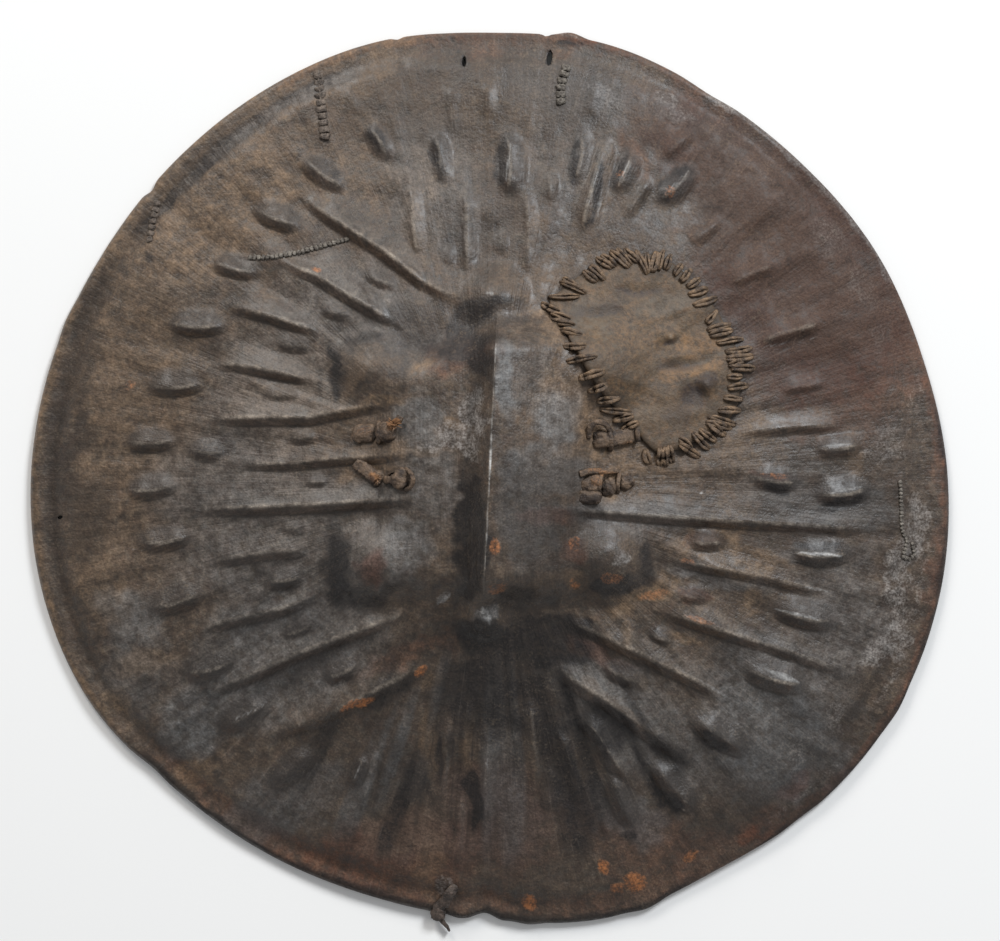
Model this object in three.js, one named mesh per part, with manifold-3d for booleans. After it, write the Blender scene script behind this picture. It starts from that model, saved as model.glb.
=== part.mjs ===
// Round hide shield, lying on its rim with the hammered front facing up.
// One thick moulded hide, a laced-on repair patch, a hide hand grip behind the
// boss held by four knotted thongs, small stitched repairs and a thong in the edge.
// Millimetres, +Z up. X runs along the hand grip, Y along the keel of the boss.
import * as THREE from 'three';
import { mergeVertices } from 'three/addons/utils/BufferGeometryUtils.js';
import Module from 'manifold-3d';

// ---- driving dimensions -------------------------------------------------
const HIDE_THICKNESS = 5.5;
const RIM_LAND_WIDTH = 14;          // flat underside of the rim
const FIT_GAP = 0.45;               // clearance between neighbouring pieces
const KEEL_HEIGHT = 36;             // keel crest over the body of the boss
const KEEL_LEAN = 0.05;             // the keel runs 3 degrees off the Y axis
const RAY_OFFSET = -3;              // degrees, so two rays run along the keel
const RIB_WIDTH = 8;                // half width of a radial rib
const PATCH_THICKNESS = 3.6;
const STITCH_PITCH = 12;
const STITCH_WIDTH = 5.4;
const STITCH_HEIGHT = 3.4;
const GRIP_WIDTH = 46;
const GRIP_THICKNESS = 5;
const GRIP_DROP = 34;               // how far the grip bows away from the boss
const THONG_RADIUS = 3.2;
const HOLE_RADIUS = 4.1;

// Radius of the hand-cut edge every 15 degrees, counted from +X towards +Y.
const EDGE_RADII = [
  339, 332, 330, 326, 326, 330, 327, 331, 330, 329, 330, 335,
  340, 343, 341, 330, 326, 325, 330, 340, 338, 345, 348, 345,
];

// Body profile: share of the edge radius, height of the face.
const PROFILE = [
  [0.00, 87], [0.14, 84], [0.28, 76], [0.40, 65], [0.52, 53], [0.64, 41.5],
  [0.76, 30.5], [0.87, 21.5], [0.92, 16.5], [0.955, 9.5], [1.00, 6.6],
];

// Radial ribs: inner bearing, inner radius, outer bearing, outer radius, height.
const RIBS = [
  [96, 126, 124, 247, 7], [118, 120, 134, 215, 6], [138, 150, 147, 221, 4],
  [151, 139, 158, 221, 4], [142, 81, 170, 218, 5], [152, 60, 177, 174, 4],
  [205, 60, 187, 228, 6], [204, 136, 197, 217, 4], [215, 155, 208, 247, 5],
  [238, 120, 217, 276, 8], [252, 142, 228, 266, 7], [258, 128, 256, 268, 4],
  [264, 128, 264, 262, 4], [270, 128, 268, 268, 5], [276, 130, 274, 262, 4],
  [287, 144, 304, 269, 7], [296, 114, 317, 237, 8], [293, 206, 295, 256, 4],
  [319, 144, 331, 314, 6], [334, 139, 341, 267, 6], [332, 90, 352, 300, 7],
  [10, 185, 8, 268, 5], [27, 217, 24, 270, 5], [39, 222, 36, 262, 4],
  [69, 150, 71, 261, 6], [80, 140, 79, 230, 4], [92, 140, 94, 223, 4],
  [107, 147, 104, 222, 4],
];

// Outer ring of raised ovals: bearing, radius, length, turn off the radius.
const OVALS = [
  [4, 256, 34, -4], [357, 257, 42, 3], [346, 246, 44, 14], [336, 249, 54, 12],
  [325, 257, 53, 17], [311, 258, 56, 16], [300, 267, 52, 15], [288, 259, 40, -10],
  [256, 234, 45, -6], [246, 249, 38, -6], [236, 259, 46, -14], [225, 251, 46, -18],
  [214, 247, 46, -14], [202, 247, 46, -7], [191, 242, 42, -6], [182, 248, 41, 3],
  [174, 247, 41, 9], [164, 238, 46, 16], [153, 241, 48, 24], [141, 239, 38, 31],
  [130, 244, 34, 30], [119, 252, 41, 23], [109, 252, 41, 11], [99, 230, 37, -4],
  [86, 230, 53, 4], [74, 239, 43, 20], [66, 241, 39, 2], [57, 254, 41, -12],
];
const OVAL_HEIGHT = 5;
const OVAL_HALF_WIDTH = 9;

// Round bosses about the keel: x, y, radius, height.
const DOMES = [[-85, 76, 30, 13], [-89, -65, 33, 15], [89, -66, 33, 15], [84, 78, 30, 12]];

// Points on the keel line: the top peak and the nose below the keel.
const TOP_PEAK = [1, 126, 24, 15];
const NOSE = [-3, -99, 24, 22];

// Edge of the repair patch, walked clockwise from its upper left corner.
const PATCH_EDGE = [
  [43, 122], [52, 133], [70, 146], [92, 155], [112, 160], [130, 155], [146, 142],
  [160, 127], [171, 108], [180, 88], [182, 67], [179, 49], [169, 35], [152, 26],
  [137, 18], [123, 16], [116, 31], [102, 46], [84, 57], [71, 71], [62, 87], [53, 106],
];

// Slots worn or cut through the hide near the edge: x, y, half width, half height.
const EDGE_SLOTS = [[-19, 304, 2.2, 4.5], [44, 307, 2.4, 6], [-317, -32, 2.4, 1.6]];

// Thongs through hide and grip: x, y of the hole, then the lumps of the knot
// on the front as x, y, half length, half width, half height, turn in degrees.
const KNOTS = {
  'knot upper left': { hole: [-74, 29], lumps: [[-88, 30, 13, 8, 6.5, 4], [-73, 29, 11, 8.5, 7, -20]] },
  'knot lower left': { hole: [-68, -3], lumps: [[-83, 3, 15, 7, 7, -28], [-71, -2, 11, 8, 8, 0], [-59, -4, 10, 7, 7, 10]] },
  'knot upper right': { hole: [79, 27], lumps: [[78, 27, 9, 10, 8, 0], [90, 26, 13, 6, 6, -8]] },
  'knot lower right': { hole: [74, -12], lumps: [[72, -13, 14, 8, 8, 4], [91, -9, 14, 7, 7, 18]] },
};

// Small stitched cracks: the line of stitches, pitch, stitch length, turn off the line.
const REPAIRS = {
  'top crack stitching': { line: [[-127, 294], [-124, 270], [-121, 247]], pitch: 5.6, length: 9 },
  'left crack stitching': { line: [[-175, 158], [-140, 161], [-103, 171]], pitch: 5.2, length: 6 },
  'left edge stitching': { line: [[-246, 200], [-249, 186], [-251, 172]], pitch: 5.2, length: 7 },
  'top edge stitching': { line: [[54, 297], [52, 284], [53, 272]], pitch: 5, length: 6 },
  'right edge stitching': { line: [[301, -5], [302, -26], [304, -43], [311, -63]], pitch: 5.4, length: 6 },
};

// ---- height of the front face ------------------------------------------
const rad = THREE.MathUtils.degToRad;
const clamp01 = (v) => Math.min(1, Math.max(0, v));
const smooth = (v) => clamp01(v) ** 2 * (3 - 2 * clamp01(v));
const onCircle = (bearing, radius) => [
  radius * Math.cos(rad(bearing)),
  radius * Math.sin(rad(bearing)),
];

function edgeRadius(bearing) {
  const step = 360 / EDGE_RADII.length;
  const place = (((bearing % 360) + 360) % 360) / step;
  const i = Math.floor(place);
  const at = (k) => EDGE_RADII[(i + k + EDGE_RADII.length) % EDGE_RADII.length];
  const t = place - i;
  const [a, b, c, d] = [at(-1), at(0), at(1), at(2)];
  return b + 0.5 * t * (c - a + t * (2 * a - 5 * b + 4 * c - d + t * (3 * (b - c) + d - a)));
}

function profileHeight(share) {
  for (let i = 1; i < PROFILE.length; i += 1) {
    const [s0, z0] = PROFILE[i - 1];
    const [s1, z1] = PROFILE[i];
    if (share <= s1) return z0 + (z1 - z0) * ((share - s0) / (s1 - s0));
  }
  return PROFILE[PROFILE.length - 1][1];
}

// The keel falls steeply to the left and slopes gently to the right.
function blockHeight(x, y) {
  const u = x - KEEL_LEAN * y;
  const left = u > -24 ? 1 - 0.68 * smooth(-u / 24) : 0.32 * (1 - smooth((-u - 56) / 34));
  const right = (1 - smooth(u / 66)) * 0.7 + 0.3 * (1 - smooth((u - 50) / 50));
  const across = u < 0 ? left : right;
  const along = smooth((y + 100) / 22) * smooth((116 - y) / 20);
  return KEEL_HEIGHT * across * along;
}

const bump = (x, y, [cx, cy, radius, height]) => {
  const d = Math.hypot(x - cx, y - cy) / radius;
  return d < 1 ? height * (1 - d * d) ** 1.3 : 0;
};

function bodyHeight(x, y) {
  const share = Math.hypot(x, y) / edgeRadius(THREE.MathUtils.radToDeg(Math.atan2(y, x)));
  const low = DOMES.reduce((sum, dome) => sum + bump(x, y, dome), 0);
  return profileHeight(share) + blockHeight(x, y) + low + bump(x, y, TOP_PEAK) + bump(x, y, NOSE);
}

// A sharp-crested ridge from a to b that dies away at both ends.
function ridge(x, y, a, b, halfWidth, height) {
  const [dx, dy] = [b[0] - a[0], b[1] - a[1]];
  const length = Math.hypot(dx, dy);
  const along = ((x - a[0]) * dx + (y - a[1]) * dy) / length;
  const off = Math.abs((x - a[0]) * dy - (y - a[1]) * dx) / length;
  if (off > halfWidth || along < 0 || along > length) return 0;
  const taper = Math.min(1, (4 * along) / length, (3 * (length - along)) / length);
  return height * (1 - off / halfWidth) * taper;
}

function reliefHeight(x, y) {
  let top = 0;
  for (const [b0, r0, b1, r1, height] of RIBS) {
    top = Math.max(top, ridge(x, y, onCircle(b0, r0), onCircle(b1, r1), RIB_WIDTH, height));
  }
  for (const [bearing, radius, length, turn] of OVALS) {
    const [cx, cy] = onCircle(bearing, radius);
    const axis = rad(bearing + turn);
    const u = (x - cx) * Math.cos(axis) + (y - cy) * Math.sin(axis);
    const v = (y - cy) * Math.cos(axis) - (x - cx) * Math.sin(axis);
    const d = Math.hypot(u / (length / 2), v / OVAL_HALF_WIDTH);
    if (d < 1) top = Math.max(top, OVAL_HEIGHT * (1 - d));
  }
  return top;
}

const faceHeight = (x, y) => bodyHeight(x, y) + reliefHeight(x, y);

// The back is plainer: the boss and the domes show, the small relief does not.
function backHeight(x, y) {
  const e = 2;
  const slope = Math.hypot(
    (bodyHeight(x + e, y) - bodyHeight(x - e, y)) / (2 * e),
    (bodyHeight(x, y + e) - bodyHeight(x, y - e)) / (2 * e),
  );
  return bodyHeight(x, y) - HIDE_THICKNESS * Math.min(2.2, Math.hypot(1, slope));
}

// ---- solids -------------------------------------------------------------
const wasm = await Module();
wasm.setup();

function toSolid(geometry) {
  const bare = geometry.clone();
  bare.deleteAttribute('normal');
  bare.deleteAttribute('uv');
  const merged = mergeVertices(bare, 1e-4);
  return new wasm.Manifold(new wasm.Mesh({
    numProp: 3,
    vertProperties: merged.attributes.position.array,
    triVerts: new Uint32Array(merged.index.array),
  }));
}

function toGeometry(solid) {
  const mesh = solid.getMesh();
  const count = mesh.vertProperties.length / mesh.numProp;
  const position = new Float32Array(count * 3);
  for (let i = 0; i < count; i += 1) {
    for (let k = 0; k < 3; k += 1) position[3 * i + k] = mesh.vertProperties[mesh.numProp * i + k];
  }
  const geometry = new THREE.BufferGeometry();
  geometry.setAttribute('position', new THREE.BufferAttribute(position, 3));
  geometry.setIndex(new THREE.BufferAttribute(new Uint32Array(mesh.triVerts), 1));
  return geometry;
}

// Closed body through a run of rings, each ring a loop of points about the axis.
// Neighbouring rings may hold different numbers of points.
function throughRings(rings) {
  const points = [];
  const faces = [];
  const starts = rings.map((ring) => {
    points.push(...ring);
    return points.length - ring.length;
  });
  for (let k = 1; k < rings.length; k += 1) {
    const [n, m] = [rings[k - 1].length, rings[k].length];
    let [i, j] = [0, 0];
    while (i < n || j < m) {
      const a = starts[k - 1] + (i % n);
      const b = starts[k] + (j % m);
      if (m === 1 || (n > 1 && i < n && (i + 0.5) / n < (j + 0.5) / m) || j === m) {
        faces.push(a, b, starts[k - 1] + ((i + 1) % n));
        i += 1;
        if (m === 1) j = i === n ? 1 : 0;
      } else {
        faces.push(a, b, starts[k] + ((j + 1) % m));
        j += 1;
        if (n === 1) i = j === m ? 1 : 0;
      }
    }
  }
  const geometry = new THREE.BufferGeometry();
  const flat = new Float32Array(points.flatMap((p) => [p.x, p.y, p.z]));
  geometry.setAttribute('position', new THREE.BufferAttribute(flat, 3));
  geometry.setIndex(faces);
  return toSolid(geometry);
}

// One ring of the hide at a share of the edge radius.
function hideRing(share, count, height) {
  if (share === 0) return [new THREE.Vector3(0, 0, height(0, 0))];
  const ring = [];
  for (let i = 0; i < count; i += 1) {
    const bearing = RAY_OFFSET + (360 * i) / count;
    const [x, y] = onCircle(bearing, share * edgeRadius(bearing));
    ring.push(new THREE.Vector3(x, y, height(x, y)));
  }
  return ring;
}

// Front rings from the centre out: share of the edge radius and number of points.
const FRONT_RINGS = [
  [0, 1], [0.035, 24], [0.072, 24], [0.11, 48], [0.15, 48], [0.19, 72], [0.23, 72], [0.27, 72],
  [0.305, 72], [0.34, 72], [0.38, 120], [0.43, 120], [0.50, 120], [0.57, 120], [0.64, 120],
  [0.69, 120], [0.74, 120], [0.79, 120], [0.87, 72], [0.92, 72],
  [0.955, 72], [0.992, 72],
];
const BACK_RINGS = [
  [0.92, 72], [0.87, 72], [0.76, 72], [0.63, 48], [0.50, 48], [0.40, 48], [0.33, 48], [0.27, 48],
  [0.21, 48], [0.15, 48], [0.10, 24], [0.05, 24], [0, 1],
];

function edgeRings() {
  const land = (bearing) => 1 - RIM_LAND_WIDTH / edgeRadius(bearing);
  const ring = (share, z) => {
    const out = [];
    for (let i = 0; i < 72; i += 1) {
      const bearing = RAY_OFFSET + 5 * i;
      const [x, y] = onCircle(bearing, share(bearing) * edgeRadius(bearing));
      out.push(new THREE.Vector3(x, y, z));
    }
    return out;
  };
  return [ring(() => 1, 4.6), ring(() => 1, 1.4), ring(() => 0.996, 0), ring(land, 0)];
}

const frontRings = FRONT_RINGS.map(([share, count]) => hideRing(share, count, faceHeight));
const backRings = BACK_RINGS.map(([share, count]) => hideRing(share, count, backHeight));
const shell = throughRings([...frontRings, ...edgeRings(), ...backRings]);

// Everything under the face, raised by the fit gap: cuts a seat under a piece.
function plug(lift) {
  const raised = frontRings.map((ring) => ring.map((p) => new THREE.Vector3(p.x, p.y, p.z + lift)));
  const [brow] = edgeRings();
  const around = [4.6 + lift, -60].map((z) => brow.map((p) => new THREE.Vector3(p.x * 1.002, p.y * 1.002, z)));
  return throughRings([...raised, ...around, [new THREE.Vector3(0, 0, -60)]]);
}
const seat = plug(FIT_GAP);

function moved(solid, x, y, z) {
  const geometry = toGeometry(solid);
  geometry.translate(x, y, z);
  return toSolid(geometry);
}

// Rounded lump such as the turn of a knot.
function lump(x, y, z, halfLength, halfWidth, halfHeight, turn, detail = 1) {
  const geometry = new THREE.IcosahedronGeometry(1, detail);
  geometry.scale(halfLength, halfWidth, halfHeight);
  geometry.rotateZ(rad(turn));
  geometry.translate(x, y, z);
  return toSolid(geometry);
}

function upright(x, y, low, high, radius, sides = 10) {
  const geometry = new THREE.CylinderGeometry(radius, radius, high - low, sides);
  geometry.rotateX(Math.PI / 2);
  geometry.translate(x, y, (low + high) / 2);
  return toSolid(geometry);
}

// Even steps along a line of points, each with the direction of the line.
function stepsAlong(line, pitch, closed = false) {
  const points = line.map(([x, y]) => new THREE.Vector3(x, y, 0));
  const curve = new THREE.CatmullRomCurve3(points, closed, 'centripetal');
  const count = Math.max(2, Math.round(curve.getLength() / pitch));
  const steps = [];
  for (let i = 0; i < (closed ? count : count + 1); i += 1) {
    steps.push({ at: curve.getPointAt(i / count), along: curve.getTangentAt(i / count) });
  }
  return steps;
}

const onFace = (x, y, height) => new THREE.Vector3(x, y, height(x, y));

// A thong laced to and fro across a line, as one ridged band with mitred turns.
// reach gives the height of the band's foot on each side of the line.
function laced(line, pitch, length, width, rise, closed, reach) {
  const turns = stepsAlong(line, pitch / 2, closed).map(({ at, along }, i) => {
    const side = i % 2 ? 1 : -1;
    const half = (length / 2) * (1 + 0.12 * Math.sin(2.4 * i));
    const [x, y] = [at.x - side * half * along.y, at.y + side * half * along.x];
    return new THREE.Vector3(x, y, reach(x, y, side));
  });
  if (closed && turns.length % 2) turns.pop();
  const count = turns.length;
  const points = [];
  turns.forEach((p, i) => {
    const before = closed || i > 0 ? turns[(i - 1 + count) % count] : p;
    const after = closed || i < count - 1 ? turns[(i + 1) % count] : p;
    const normals = [[before, p], [p, after]].filter(([a, b]) => a !== b).map(([a, b]) => {
      const d = Math.hypot(b.x - a.x, b.y - a.y);
      return [-(b.y - a.y) / d, (b.x - a.x) / d];
    });
    const sum = normals.reduce((t, n) => [t[0] + n[0], t[1] + n[1]], [0, 0]);
    const size = (sum[0] ** 2 + sum[1] ** 2) / normals.length;
    const [mx, my] = sum.map((v) => (v / Math.max(size, 0.3)) * (width / 2));
    points.push(
      new THREE.Vector3(p.x - mx, p.y - my, p.z - 1.6),
      new THREE.Vector3(p.x, p.y, p.z + rise),
      new THREE.Vector3(p.x + mx, p.y + my, p.z - 1.6),
    );
  });
  const faces = [];
  for (let i = 0; i < (closed ? count : count - 1); i += 1) {
    for (let k = 0; k < 3; k += 1) {
      const [a, b] = [3 * i + k, 3 * i + ((k + 1) % 3)];
      const [c, d] = [3 * ((i + 1) % count) + k, 3 * ((i + 1) % count) + ((k + 1) % 3)];
      faces.push(a, c, b, b, c, d);
    }
  }
  if (!closed) faces.push(0, 1, 2, 3 * count - 3, 3 * count - 1, 3 * count - 2);
  const geometry = new THREE.BufferGeometry();
  const flat = new Float32Array(points.flatMap((p) => [p.x, p.y, p.z]));
  geometry.setAttribute('position', new THREE.BufferAttribute(flat, 3));
  geometry.setIndex(faces);
  return toSolid(geometry);
}

// ---- the repair patch and its lacing -----------------------------------
const PATCH_CENTRE = [118, 88];
const patchEdge = stepsAlong(PATCH_EDGE, 13, true).map(({ at }) => at).reverse();

// grow widens and lifts the patch, for the seat that the lacing lies in.
function patchSolid(grow) {
  const [cx, cy] = PATCH_CENTRE;
  const lift = PATCH_THICKNESS + grow;
  const rings = [[onFace(cx, cy, (x, y) => faceHeight(x, y) + lift + 3)]];
  for (const share of [0.35, 0.7, 0.96]) {
    const rise = lift + 3 * (1 - share ** 2) - (share > 0.9 ? 1 : 0);
    rings.push(patchEdge.map((p) => {
      const out = share * (1 + grow / 38);
      return onFace(cx + out * (p.x - cx), cy + out * (p.y - cy), (x, y) => faceHeight(x, y) + rise);
    }));
  }
  const foot = 1 + grow / 38;
  rings.push(patchEdge.map((p) => {
    const [x, y] = [cx + foot * (p.x - cx), cy + foot * (p.y - cy)];
    return new THREE.Vector3(x, y, faceHeight(x, y) - 9);
  }));
  rings.push([new THREE.Vector3(cx, cy, 20)]);
  return throughRings(rings);
}

const patch = patchSolid(0).subtract(seat);
const patchSeat = patchSolid(FIT_GAP);

// The lacing goes over the edge of the patch, from the hide up onto the patch.
const overEdge = (x, y, side) => faceHeight(x, y) + (side > 0 ? PATCH_THICKNESS + 0.8 : 0.4);
const lacingLine = patchEdge.map((p) => [p.x, p.y]);
const lacing = laced(lacingLine, STITCH_PITCH, 15, STITCH_WIDTH, STITCH_HEIGHT, true, overEdge)
  .subtract(seat)
  .subtract(patchSeat);

// ---- the hand grip and its four thongs ----------------------------------
// Upper side of the grip: flat to the hide at its ends, bowed away in the middle.
function gripTop(x) {
  const rest = Math.min(backHeight(x, 10 - 0.03 * x), 96 - 0.3 * Math.abs(x));
  return rest - FIT_GAP - GRIP_DROP * smooth((70 - Math.abs(x)) / 46);
}

function gripSolid() {
  const stations = 18;
  const half = 92;
  const rings = [];
  for (let i = 0; i <= stations; i += 1) {
    const x = -half + (2 * half * i) / stations;
    const middle = 10 - 0.03 * x;
    const width = GRIP_WIDTH * (1 - 0.28 * smooth((60 - Math.abs(x)) / 40));
    const top = [];
    const under = [];
    for (const side of [-0.5, -0.17, 0.17, 0.5]) {
      const y = middle + side * width;
      const z = gripTop(x) - (Math.abs(side) > 0.4 ? 0.8 : 0);
      top.push(new THREE.Vector3(x, y, z));
      under.unshift(new THREE.Vector3(x, y, z - GRIP_THICKNESS));
    }
    rings.push([...under, ...top]);
  }
  const centre = (ring) => [ring.reduce((sum, p) => sum.add(p), new THREE.Vector3()).divideScalar(8)];
  return throughRings([centre(rings[0]), ...rings, centre(rings[rings.length - 1])]);
}

let grip = gripSolid();
let hide = shell;
for (let step = 0; step < 4; step += 1) grip = grip.subtract(moved(shell, 0, 0, -FIT_GAP + 3 * step));

const knots = {};
for (const [name, { hole, lumps }] of Object.entries(KNOTS)) {
  const [hx, hy] = hole;
  const underside = Math.min(...[-10, 0, 10].map((dx) => gripTop(hx + dx))) - GRIP_THICKNESS - 1.4;
  hide = hide.subtract(upright(hx, hy, -5, 160, HOLE_RADIUS));
  grip = grip.subtract(upright(hx, hy, -5, 160, HOLE_RADIUS));
  let front = null;
  for (const [x, y, a, b, c, turn] of lumps) {
    const piece = lump(x, y, faceHeight(x, y) + 0.35 * c, a, b, c, turn);
    front = front ? front.add(piece) : piece;
  }
  const neck = upright(hx, hy, underside - 3, faceHeight(hx, hy) + 2, THONG_RADIUS);
  const tail = upright(hx, hy, underside - 5, underside, 7.5, 8);
  knots[name] = front.subtract(seat).add(neck).add(tail);
}
for (const [x, y, w, h] of EDGE_SLOTS) {
  const cut = new THREE.CylinderGeometry(1, 1, 80, 10);
  cut.rotateX(Math.PI / 2);
  cut.scale(w, h, 1);
  cut.translate(x, y, 10);
  hide = hide.subtract(toSolid(cut));
}

// ---- small stitched repairs and the thong in the bottom edge -------------
const repairs = {};
for (const [name, { line, pitch, length }] of Object.entries(REPAIRS)) {
  repairs[name] = laced(line, pitch, length, 3.2, 2.6, false, faceHeight).subtract(seat);
}

function edgeThong() {
  const foot = -edgeRadius(263.5);
  const path = new THREE.CatmullRomCurve3([
    new THREE.Vector3(-30, foot + 17, 14.5),
    new THREE.Vector3(-34, foot + 6, 12.5),
    new THREE.Vector3(-38, foot - 3, 8.5),
    new THREE.Vector3(-42, foot - 8, 5),
  ]);
  const outline = new THREE.Shape();
  for (let i = 0; i < 8; i += 1) {
    const [x, y] = onCircle(45 * i, 3.6);
    if (i) outline.lineTo(x, y);
    else outline.moveTo(x, y);
  }
  outline.closePath();
  const geometry = new THREE.ExtrudeGeometry(outline, { steps: 8, bevelEnabled: false, extrudePath: path });
  return toSolid(geometry);
}
const edgeSeat = [0, 1.5, 3, 4.5].reduce((all, dy) => all.add(moved(shell, 0, -0.5, FIT_GAP - dy)), seat);
const stub = edgeThong().subtract(edgeSeat);

// ---- assembly ------------------------------------------------------------
const material = (color, roughness) => new THREE.MeshStandardMaterial({ color, roughness, metalness: 0 });
const LOOKS = {
  hide: material(0x5f544b, 0.55),
  patch: material(0x6d5a45, 0.6),
  thong: material(0x4b3c30, 0.65),
  grip: material(0x5a4636, 0.6),
};

const shield = new THREE.Group();
function place(name, solid, look) {
  const mesh = new THREE.Mesh(toGeometry(solid), look);
  mesh.name = name.replaceAll(' ', '_');
  shield.add(mesh);
}
place('shield body', hide, LOOKS.hide);
place('repair patch', patch, LOOKS.patch);
place('patch lacing', lacing, LOOKS.thong);
place('hand grip', grip, LOOKS.grip);
for (const [name, solid] of Object.entries(knots)) place(name, solid, LOOKS.thong);
for (const [name, solid] of Object.entries(repairs)) place(name, solid, LOOKS.thong);
place('edge thong', stub, LOOKS.thong);

// The origin is the middle of the shield's box, on the plane of the rim.
const box = new THREE.Box3().setFromObject(shield);
shield.position.set(-(box.min.x + box.max.x) / 2, -(box.min.y + box.max.y) / 2, -box.min.z);

export default shield;
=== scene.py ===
import math

import bmesh
import bpy
import numpy as np
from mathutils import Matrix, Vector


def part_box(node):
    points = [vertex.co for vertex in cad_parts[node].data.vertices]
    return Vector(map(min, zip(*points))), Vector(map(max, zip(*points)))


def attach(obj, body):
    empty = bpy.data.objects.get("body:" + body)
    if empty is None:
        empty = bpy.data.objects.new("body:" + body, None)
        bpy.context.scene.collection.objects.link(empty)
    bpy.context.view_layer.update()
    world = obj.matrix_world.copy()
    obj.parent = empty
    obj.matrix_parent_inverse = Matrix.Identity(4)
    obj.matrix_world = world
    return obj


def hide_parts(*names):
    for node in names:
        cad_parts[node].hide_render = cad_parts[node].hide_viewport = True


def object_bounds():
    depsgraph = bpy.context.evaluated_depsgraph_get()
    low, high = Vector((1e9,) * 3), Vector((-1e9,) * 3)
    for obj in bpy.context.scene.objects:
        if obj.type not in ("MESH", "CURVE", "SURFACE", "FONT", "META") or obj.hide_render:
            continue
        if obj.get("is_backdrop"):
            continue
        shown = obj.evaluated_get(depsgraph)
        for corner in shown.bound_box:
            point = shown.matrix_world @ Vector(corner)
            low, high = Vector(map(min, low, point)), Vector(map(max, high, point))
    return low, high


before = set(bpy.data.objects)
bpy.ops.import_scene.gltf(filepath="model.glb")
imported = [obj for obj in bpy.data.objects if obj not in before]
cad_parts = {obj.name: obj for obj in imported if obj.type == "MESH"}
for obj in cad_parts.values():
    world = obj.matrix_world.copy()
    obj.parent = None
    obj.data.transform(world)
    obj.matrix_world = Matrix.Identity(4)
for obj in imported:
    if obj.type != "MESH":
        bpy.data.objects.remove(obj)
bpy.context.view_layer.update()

# ---------------------------------------------------------------------------
# The shield body: one round of thick hide, soaked, hammered over forms into a
# keeled boss with ribs and raised ovals round it, dried hard and greased dark.
# Heights are in millimetres over the plane of the rim, measured from the keel.
HIDE_THICKNESS = 5.5
KEEL_HEIGHT = 36.0
KEEL_LEAN = 0.05
FACE_SPOKES = 900      # points round the face; the ribs run outwards, so rings can be wider apart
FACE_RINGS = 80
BACK_RINGS = 36
EDGE_RADII = [339, 332, 330, 326, 326, 330, 327, 331, 330, 329, 330, 335,
              340, 343, 341, 330, 326, 325, 330, 340, 338, 345, 348, 345]
# Nicks and lobes of the hand-cut edge: bearing, radius change, half width in degrees.
EDGE_LOBES = [(82.7, -1.5, 0.8), (79.6, 3.0, 2.8), (102, -1.4, 1.0), (140, -2.2, 1.6), (269.4, -4.5, 2.4),
              (290, 2.4, 3.5), (266, 1.6, 2.0), (275, 1.5, 2.5), (221, -1.4, 4.0),
              (330, 1.2, 4.0), (312, -1.0, 4.0), (60, -1.2, 5.0), (160, 1.0, 4.0)]
BODY_PROFILE = [(0.0, 87), (0.14, 84), (0.28, 76), (0.40, 65), (0.52, 53), (0.64, 41.5),
                (0.76, 30.5), (0.87, 21.5), (0.92, 16.5), (0.955, 9.5), (0.985, 6.8), (1.0, 6.4)]
DOMES = [(-85, 76, 27, 15), (-87, -64, 30, 18), (87, -63, 29, 17), (84, 78, 30, 10)]
TOP_PEAK = (3, 127, 25, 13)
NOSE = (-3, -100, 19, 17)
# Shallow trough inside the edge: bearing, half spread in degrees, depth, distance from the edge.
RIM_TROUGHS = [(180, 42, 2.4, 17), (137, 18, 1.1, 22), (328, 34, 2.6, 27), (8, 26, 1.2, 24),
               (232, 26, 1.0, 14), (262, 20, 1.2, 16), (52, 20, 1.0, 12)]


def smooth(t):
    """0 below 0, 1 above 1, with an easy rise between."""
    t = np.clip(t, 0.0, 1.0)
    return t * t * (3 - 2 * t)


def edge_radius(bearing):
    """Radius of the edge at a bearing in degrees, through the round of radii."""
    step = 360 / len(EDGE_RADII)
    place = np.mod(bearing, 360.0) / step
    i = np.floor(place).astype(int)
    t = place - i
    radii = np.array(EDGE_RADII, float)
    a, b, c, d = (radii[(i + k) % len(radii)] for k in (-1, 0, 1, 2))
    r = b + 0.5 * t * (c - a + t * (2 * a - 5 * b + 4 * c - d + t * (3 * (b - c) + d - a)))
    for at, change, half in EDGE_LOBES:
        off = np.abs(np.mod(np.asarray(bearing) - at + 180, 360) - 180)
        r = r + change * smooth(1 - off / half)
    return r


DAPPLE_TABLES = [np.random.RandomState(seed).uniform(-1, 1, (256, 256)) for seed in range(64)]


def dapple(x, y, cell, seed):
    """Soft random height, -1 to 1, over cells of the given size."""
    table = DAPPLE_TABLES[seed]
    u, v = np.asarray(x) / cell + 97.3, np.asarray(y) / cell + 61.7
    i, j = np.floor(u).astype(int), np.floor(v).astype(int)
    s, t = smooth(u - i), smooth(v - j)
    at = lambda a, b: table[(i + a) % 256, (j + b) % 256]
    return ((at(0, 0) * (1 - s) + at(1, 0) * s) * (1 - t)
            + (at(0, 1) * (1 - s) + at(1, 1) * s) * t)


def bump(x, y, cx, cy, radius, height):
    """A round swelling that eases out to nothing."""
    d = np.hypot(x - cx, y - cy) / (1.25 * radius)
    return height * np.clip(1 - d * d, 0, 1) ** 2


def block_height(x, y):
    """The boss: a keel, steep on its left and gently sloped on its right."""
    u = x - KEEL_LEAN * y
    fall = np.clip(-u / 23, 0, 1)
    left = np.where(u > -23, 1 - 0.66 * np.sin(fall * np.pi / 2) ** 1.1,
                    0.34 * (1 - smooth((-u - 54) / 36)))
    right = np.clip(1 - u / 92, 0, 1) ** 1.12 * (1 - 0.6 * smooth((u - 48) / 44))
    along = smooth((y + 98) / 26) * smooth((119 + 0.4 * np.minimum(u, 0) - y) / 32)
    return KEEL_HEIGHT * np.where(u < 0, left, right) * along


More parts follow.
